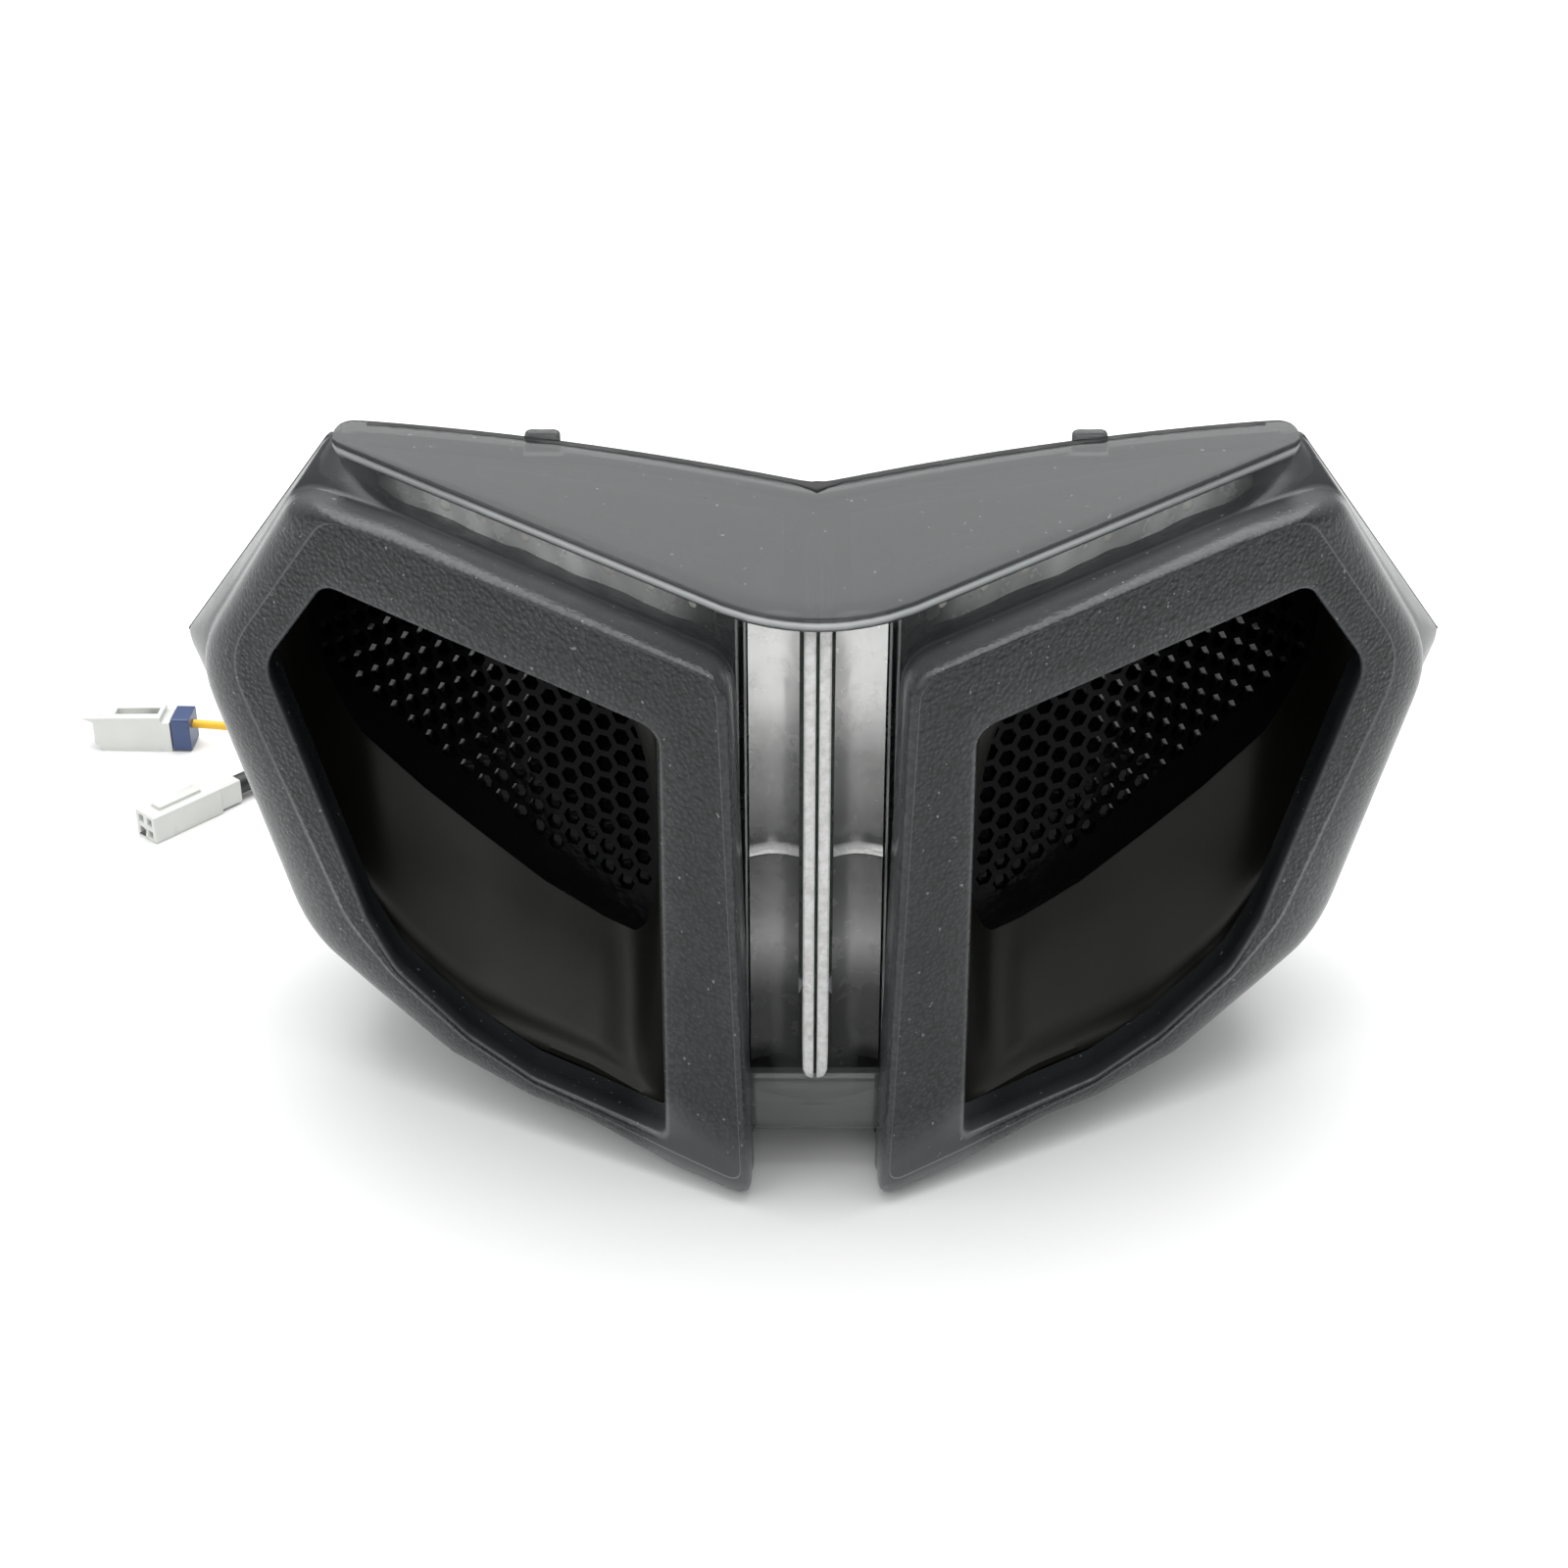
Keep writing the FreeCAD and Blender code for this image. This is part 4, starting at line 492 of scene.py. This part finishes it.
def near_edge(x):
    """The plate's edge over the brow: straight, with a rounded nose over the column."""
    x = abs(x)
    if x > NOSE_REACH:
        return -0.9 + 0.6128 * x
    return 4.28 + NOSE_RADIUS - math.sqrt(NOSE_RADIUS ** 2 - x * x)


def far_edge(x):
    x = math.sqrt(x * x + 2.0) - 1.2
    return 38.9 + 0.3238 * x - 0.0013654 * x * x


def top_plate():
    sections = []
    stations = [81.3, 81.2, 80.9, 80.4, 79.6, 78.5, 75, 70, 64, 58, 51, 44, 37, 30, 24, 19, 15, 11, 8, 5, 2.5]
    for x in [-s for s in stations] + [0.0] + stations[::-1]:
        thin = 0.35 * smooth(80.6, 81.3, abs(x))
        reach = min(1.0, max(0.0, (abs(x) - 77.6) / 3.7))
        corner = 3.4 * (1 - math.sqrt(1 - reach * reach))
        near, far = near_edge(x) + thin + 0.2, far_edge(x) - thin - 0.2 - corner
        profile = [(near + 0.7, -2.4), (near + 0.15, -2.3), (near, -2.0), (near + 0.35, -1.35),
                   (near + 0.1, -1.1), (near, -0.55), (near + 0.18, -0.15), (near + 0.65, 0.0)]
        profile += [(near + (far - near) * k / 8, 0.0) for k in range(1, 8)]
        profile += [(far - 0.7, 0.0), (far - 0.2, -0.15), (far, -0.6), (far, -2.1), (far - 0.3, -2.4)]
        profile += [(far + (near - far) * k / 6, -2.4) for k in range(1, 6)]
        sections.append([at(x, y, plate_z(y) + drop * (1 - thin)) for y, drop in profile])

    # painted highlight: full along the near edge's rows, fainter along the far rim
    near_line, far_rim = (3, 4), 17

    def painted_edge_highlight(k):
        return 0.0, 1.0 if k in near_line else (0.45 if k == far_rim else 0.0)
    return lofted("top_plate", sections, [painted_edge_highlight] * len(sections), sharp=50)


def bow(x):
    """The front of the clear band: swept like the frames, bowed across the column."""
    x = abs(x)
    if x > 9.9:
        return APEX_Y + BROW_BACK + x * SWEEP
    return 6.3 + 21.1 - math.sqrt(21.1 ** 2 - x * x)


def brow(side_name):
    """The clear band over a frame, from the column out to the lamp's corner."""
    side = SIDES[side_name]
    line = [(13.4, 102.4), (20, 103.7), (30, 105.8), (42, 108.3), (54, 110.8), (64, 113.0), (72, 114.6),
            (77, 115.3)]
    feet = [(x, bow(x), z) for x, z in line]
    tops = []
    for x, y, _ in feet:
        drop = 2.7 - 2.2 * smooth(50, 60, x)
        tops.append((x, y, plate_z(y) - drop))
    feet += [(81.5, 47.4, 115.9), (85.0, 49.6, 116.2), (86.8, 51.4, 116.3)]
    tops += [(79.4, 46.4, 123.3), (80.9, 49.6, 124.2), (81.0, 53.0, 124.9)]
    sections = []
    for foot, top in zip(feet, tops):
        foot, top = Vector(foot), Vector(top)
        deep = Vector((-0.35, 0.94, 0)) * 2.3
        ring = []
        for k in range(7):
            share = k / 6
            bulge = -0.35 * math.sin(math.pi * share)
            ring.append(foot.lerp(top, share) + Vector((0, bulge, 0)))
        ring[-1] = ring[-1] + Vector((0, 0.35, 0))
        ring.append(top + deep * 0.15 + Vector((0, 0, 0.12)))
        ring += [top + deep, top.lerp(foot, 0.5) + deep, foot + deep]
        sections.append([at(side * p.x, p.y, p.z) for p in ring])
    return lofted("brow_" + side_name, sections, sharp=50)


def column_cover():
    xs = [-13.9, -13.2, -12.2, -11, -9.9, -8, -6, -4, -2, 0, 2, 4, 6, 8, 9.9, 11, 12.2, 13.2, 13.9]
    sections = []
    levels = [0.0, 0.02, 0.05, 0.12, 0.2, 0.3, 0.4, 0.5, 0.6, 0.7, 0.8, 0.9, 0.97, 1.0]
    for level in levels:
        ring = []
        for x, deep in [(x, 0.0) for x in xs] + [(x, 2.3) for x in reversed(xs)]:
            y = bow(x) + deep
            foot = 19.3 - 0.9 * math.exp(-(x / 1.6) ** 2)
            edge = 0.5 * smooth(0.03, 0.0, level) * (1 if deep == 0 else -1)
            ring.append(at(x, y + edge, foot + (plate_z(y) - 2.7 - foot) * level))
        sections.append(ring)
    return lofted("column_cover", sections, sharp=50)


def column_mirror(side_name):
    """The wall beside the light guide, with plating at the top and bare below a crosswise rib. How bright it
    looks is mostly painted reflection: a vertex tone lightens the base colour towards white at the top, with
    a painted V-shaped reflection lower down and a painted highlight along the rib.
    """
    side = SIDES[side_name]
    rings, tones = [], []
    levels = [21, 28, 35, 40, 46, 52, 58, 62.6, 63.2, 63.6, 64.4, 64.8, 65.4, 70, 76, 82, 88,
              93, 97, 100, 102.4, 104, 106, 108, 109.6]
    xs = [2.9, 3.6, 5.0, 6.6, 8.2, 9.6, 10.6, 11.2]
    for z in levels:
        rib = 1.1 * smooth(63.0, 63.7, z) * smooth(65.2, 64.5, z)
        scoop = 2.0 * smooth(88, 104, z) ** 1.4
        front = []
        for x in xs:
            hollow = 1.2 * math.sin(math.pi * (x - 2.9) / 8.3)
            front.append(at(side * x, 15.9 + hollow - rib - scoop, z))
        back = [point + Vector((0, 1.0 * MM, 0)) for point in reversed(front)]
        rings.append(front + back)
        # the tone is partly real, bare plastic low and plating high, and partly painted reflection that lifts
        # the top to near white; a painted V-shaped reflection lower down and a painted highlight on the rib
        # are added
        plating_and_painted_reflection = 0.02 + 0.10 * smooth(30, 60, z) + 0.20 * smooth(66, 82, z) + 0.68 * smooth(82, 95, z)
        painted_v_reflection = 0.30 * math.exp(-((z - 46) / 6.0) ** 2)
        tones.append((0.0, min(1.0, plating_and_painted_reflection + painted_v_reflection + (0.7 if rib > 0.5 else 0.0))))
    return lofted("column_mirror_" + side_name, rings, tones, sharp=50)


GUIDE_SECTIONS = [
    # half width, front or top edge (y, z), back or bottom edge (y, z)
    (0.75, (11.6, 20.1), (12.8, 20.1)), (1.6, (10.0, 21.6), (14.4, 21.6)), (2.1, (9.3, 23.4), (15.1, 23.4)),
    (2.2, (9.2, 27), (15.2, 27)), (2.2, (9.2, 48), (15.2, 48)), (2.2, (9.2, 70), (15.2, 70)),
    (2.2, (9.2, 90), (15.2, 90)), (2.2, (9.2, 104), (15.2, 102)), (2.2, (9.5, 109.4), (15.4, 105.4)),
    (2.2, (10.6, 111.4), (16.2, 107.2)), (2.2, (12.6, 112.4), (17.2, 108.2)), (2.2, (22, 114.8), (23, 110.4)),
    (2.2, (30, 116.8), (30, 112.2)),
]


def guide_bar(side_name):
    """Half of the light guide: the two bars run down the column with a groove between them."""
    side = SIDES[side_name]
    rings = []
    for half, (y0, z0), (y1, z1) in GUIDE_SECTIONS:
        corners = [(0.30, y0 + 0.25, z0), (0.55, y0, z0), (half - 0.3, y0, z0), (half, y0 + 0.3, z0),
                   (half, y1, z1), (0.30, y1, z1)]
        rings.append([at(side * x, y, z) for x, y, z in corners])
    return lofted("guide_bar_" + side_name, rings, sharp=40)


def column_rib(side_name, x, wide):
    """A thin rib standing behind the column's cover, from the foot to the plate."""
    side = SIDES[side_name]
    rings = []
    for level in range(13):
        y = bow(x) + 2.35
        z = 20.6 + (plate_z(y) - 4.2 - 20.6) * level / 12
        outline = [(-wide, 0.35), (-wide * 0.5, 0.0), (wide * 0.5, 0.0),
                   (wide, 0.35), (wide, 1.3), (-wide, 1.3)]
        rings.append([at(side * (x + dx), y + dy, z) for dx, dy in outline])
    return lofted("column_rib_" + side_name, rings, sharp=50)


def brow_reflector(side_name):
    """The rippled plating behind the clear band. Its brightness is painted reflection: a vertex tone lightens
    the base colour in uneven waves along the band and fades to dark at both ends.
    """
    side = SIDES[side_name]
    rings, tones = [], []
    for i in range(97):
        x = 16.6 + 57.0 * i / 96
        y = bow(x) + 4.2
        low, high = 101.6 + 0.213 * (x - 13.4), plate_z(y) - 3.2
        front = []
        for k in range(9):
            share = k / 8
            cup = 0.4 * max(0.0, math.sin(math.pi * (x - 17) / 7.0)) ** 2 * math.sin(math.pi * share)
            ripple = 0.30 * math.sin(0.42 * x + 3 * share) + 0.12 * math.sin(1.1 * x - 5 * share)
            front.append(at(side * x, y + cup + ripple - 0.6 * share, low + (high - low) * share))
        back = [point + Vector((0, 0.9 * MM, 0)) for point in reversed(front)]
        rings.append(front + back)
        # painted reflection: uneven brightness along the band, faded out towards both ends
        painted_reflection_waves = 0.86 + 0.14 * math.sin(0.31 * x + 1.1) + 0.06 * math.sin(0.83 * x)
        tones.append((0.0, painted_reflection_waves * smooth(16, 32, x) * smooth(76, 60, x)))
    return lofted("brow_reflector_" + side_name, rings, tones, sharp=60)


def seal_bead():
    """The seal squeezed up just inside the plate's far edge, with a lump at the middle."""
    rings = []
    for i in range(-76, 77):
        x = i * 1.0
        lump = math.exp(-(x / 2.6) ** 2) * (1 + 0.25 * math.sin(2.1 * x + 1))
        near = far_edge(x) - 1.75 - 1.3 * lump + 0.08 * math.sin(1.7 * x)
        far = far_edge(x) - 0.95 + 0.2 * lump
        top = 0.10 + 0.25 * lump
        profile = [(near, -0.3), (near, top * 0.5), (near + 0.2, top),
                   (far - 0.2, top), (far, top * 0.5), (far, -0.3)]
        rings.append([at(x, y, plate_z(y) + rise) for y, rise in profile])
    return lofted("seal_bead", rings, sharp=60)


def plate_hook(side_name):
    """A snap hook whose rounded head stands over the plate's far edge."""
    x, y = SIDES[side_name] * 46, 49.6
    rings = []
    for rise, shrink in ((-2.2, 0.0), (0.4, 0.0), (0.8, 0.25), (1.05, 0.7)):
        outline = rounded([(x - 3 + shrink, y + shrink * 0.4), (x + 3 - shrink, y + shrink * 0.4),
                           (x + 3 - shrink, y + 1.6 - shrink * 0.4),
                           (x - 3 + shrink, y + 1.6 - shrink * 0.4)],
                          [0.4] * 4, 4, 2)
        rings.append([at(p.x, p.y, plate_z(p.y) + rise) for p in outline])
    return lofted("plate_hook_" + side_name, rings, sharp=50)


def lip():
    """The lower edge under the column, with a moulded line across it."""
    profile = [(12.4, 8.4), (11.8, 9.0), (11.6, 11.0), (11.6, 13.6), (11.15, 13.9), (11.15, 14.5),
               (11.6, 14.8), (11.8, 17.0), (12.1, 19.6), (12.7, 20.4), (14.2, 20.5), (14.2, 8.3)]
    sections = []
    for x in [-12.4, -12.0, -10, -6, -3, 0, 3, 6, 10, 12.0, 12.4]:
        shut = 0.3 * smooth(12.0, 12.4, abs(x))
        sections.append([at(x, y + shut, z) for y, z in profile])
    return lofted("lower_lip", sections, sharp=45)


# ---------------------------------------------------------------- ducts
MOUTH = [(26.3, 92.4), (84.6, 105), (98.2, 84.5), (83, 31), (71.5, 21.7), (61, 15), (52, 14.6),
         (40.4, 13.4), (26.9, 9.4)]
SEAT = [(27.3, 90), (86, 99), (97.6, 72.4), (85.5, 65), (73.7, 57), (64.2, 51.6), (49.3, 42.1),
        (38.2, 37.2), (27.3, 35.4)]
OUTLET = [(30, 74), (64, 80), (74, 66), (70, 58), (63, 50), (56, 44), (48, 39), (39, 36), (30, 35)]
MOUTH_RADII = [4, 4, 6, 12, 14, 10, 6, 8, 3]
SEAT_RADII = [5, 5, 8, 14, 16, 14, 14, 12, 6]
OUTLET_RADII = [4, 4, 6, 8, 8, 8, 8, 8, 6]


def duct(side_name):
    side = SIDES[side_name]
    mouth, seat = rounded(MOUTH, MOUTH_RADII), rounded(SEAT, SEAT_RADII)
    outlet = rounded(OUTLET, OUTLET_RADII)

    def eased(outline, turns):
        for _ in range(turns):
            outline = [(outline[i - 1] + p * 2 + outline[(i + 1) % len(outline)]) / 4
                       for i, p in enumerate(outline)]
        return outline

    def stepped(outline, share):
        """The floor stands higher from just inside the mouth, with a sloped riser."""
        rise = 2.0 * smooth(0.05, 0.09, share) * smooth(0.9, 0.4, share)
        return [p + Vector((-0.25, 0.97)) * rise * smooth(46, 30, p.y) * smooth(30, 40, p.x) for p in outline]

    def rings_at(grow):
        rings = []
        for share in (0.0, 0.03, 0.05, 0.07, 0.09, 0.14, 0.22, 0.32, 0.45, 0.6, 0.75, 0.9, 1.0):
            bent = share - 0.05 * math.sin(math.pi * share)
            outline = eased(between(mouth, seat, bent), round(50 * smooth(0.0, 0.2, share)))
            outline = grown(stepped(outline, share), grow)
            rings.append([on_wing(p, 9.5 + 28.5 * share, side) for p in outline])
        seat_ring = rings[-1]
        outlet_ring = [at(side * p.x, 97.9, p.y) for p in grown(outlet, grow)]
        for share in (0.35, 0.7, 1.0):
            rings.append([a.lerp(b, share) for a, b in zip(seat_ring, outlet_ring)])
        return rings

    inner, outer = rings_at(0.0), rings_at(1.3)
    return lofted("duct_" + side_name, inner + outer[::-1], ring_closed=True, sharp=50)


# ---------------------------------------------------------------- stage
def make_stage():
    bm = bmesh.new()
    bmesh.ops.create_grid(bm, x_segments=24, y_segments=24, size=14.0)
    floor = bpy.data.objects.new("floor", finish_mesh(bm, "floor"))
    scene.collection.objects.link(floor)
    floor.data.materials.append(surface("studio_floor", (0.86, 0.865, 0.86), 0.48, mottle=0.01,
                                        mottle_scale=2, bumps=(("wave", 14, 0.04),), rough_spread=0.05))


def area_light(name, place, target, size, power, color=(1, 1, 1), size_y=None):
    data = bpy.data.lights.new(name, "AREA")
    data.energy = power
    data.color = color
    data.size = size
    if size_y:
        data.shape = "RECTANGLE"
        data.size_y = size_y
    light = bpy.data.objects.new(name, data)
    light.location = place
    light.rotation_euler = (Vector(target) - Vector(place)).to_track_quat("-Z", "Y").to_euler()
    scene.collection.objects.link(light)


def make_lights():
    world = bpy.data.worlds.new("studio")
    world.use_nodes = True
    nodes, links = world.node_tree.nodes, world.node_tree.links
    direction = nodes.new("ShaderNodeSeparateXYZ")
    links.new(nodes.new("ShaderNodeTexCoord").outputs["Generated"], direction.inputs["Vector"])
    height = nodes.new("ShaderNodeValToRGB")
    height.color_ramp.elements[0].position, height.color_ramp.elements[0].color = 0.02, (0.20, 0.21, 0.22, 1)
    height.color_ramp.elements[1].position, height.color_ramp.elements[1].color = 0.75, (1.0, 1.0, 1.0, 1)
    links.new(direction.outputs["Z"], height.inputs["Fac"])
    seen = nodes.new("ShaderNodeMix")
    seen.data_type = "RGBA"
    tints = [socket for socket in seen.inputs if socket.type == "RGBA"]
    links.new(nodes.new("ShaderNodeLightPath").outputs["Is Camera Ray"], seen.inputs["Factor"])
    links.new(height.outputs["Color"], tints[0])
    tints[1].default_value = (0.95, 0.96, 0.96, 1)
    result = [socket for socket in seen.outputs if socket.type == "RGBA"][0]
    links.new(result, nodes["Background"].inputs["Color"])
    nodes["Background"].inputs["Strength"].default_value = 0.95
    scene.world = world
    area_light("overhead", (0.0, 0.35, 1.3), (0, 0, 0.05), 1.5, 22)
    area_light("front_left", (-0.9, -0.8, 0.9), (0, 0, 0.05), 0.8, 3)
    area_light("front_low", (0.1, -1.1, 0.42), (0, 0, 0.07), 0.5, 2)
    scene.view_settings.view_transform = "Standard"
    scene.view_settings.look = "None"


# ---------------------------------------------------------------- assembly
make_camera()
finish_nodes()
lead("lead_cable_run", LEAD_ROUTE, 4.6, CABLE, "lead_cable")
lead("yellow_wire_run", YELLOW_ROUTE, 2.0, YELLOW, "yellow_wire")

for name in SIDES:
    piece("window_frame_" + name, frame_shell(name), SMOKE, "smoked_lens", "smoked_lens")
    piece("brow_" + name, brow(name), CLEAR_SMOKE, "smoked_lens", "smoked_lens")
    piece("duct_shell_" + name, duct(name), DUCT, "housing", name + "_duct")
piece("top_plate", top_plate(), PLATE, "smoked_lens", "smoked_lens")
for name in SIDES:
    piece("column_mirror_" + name, column_mirror(name), PAINTED_REFLECTION_PLATING, "bright",
          "column_reflector", "lower_reflector")
    piece("guide_bar_" + name, guide_bar(name), CLEAR, "clear", "centre_light_guide")
    for number, (x, wide) in enumerate(((11.7, 0.22), (13.0, 0.3))):
        piece(f"column_rib_{name}_{number}", column_rib(name, x, wide), RIB_PAINTED_HIGHLIGHT, "smoked_lens", "smoked_lens")
    piece("brow_reflector_" + name, brow_reflector(name), PAINTED_REFLECTION_PLATING, "bright", name + "_turn_reflector")
    piece("plate_hook_" + name, plate_hook(name), PLATE, "smoked_lens", "smoked_lens")
piece("seal_bead", seal_bead(), RUBBER, "rubber")
piece("column_cover", column_cover(), COLUMN_SMOKE, "smoked_lens", "smoked_lens")
piece("lower_lip", lip(), LIP_SMOKE, "smoked_lens", "smoked_lens")

refined("rear_housing", HOUSING, "housing", 0.5)
refined("rear_cover", HOUSING, "housing", 0.4)
plugs = {
    "a": [refined("connector_a", NYLON, "white", 0.3), refined("connector_a_retainer", BLUE, "retainer", 0.2),
          frame["nodes"]["connector_a_terminal"]],
    "b": [refined("connector_b", NYLON, "white", 0.3), refined("connector_b_cover", NYLON, "white", 0.3),
          frame["nodes"]["connector_b_terminals"]],
}
for grille in ("left_grille", "right_grille"):
    refined(grille, MESH, "grille", 0.28)

make_stage()
make_lights()
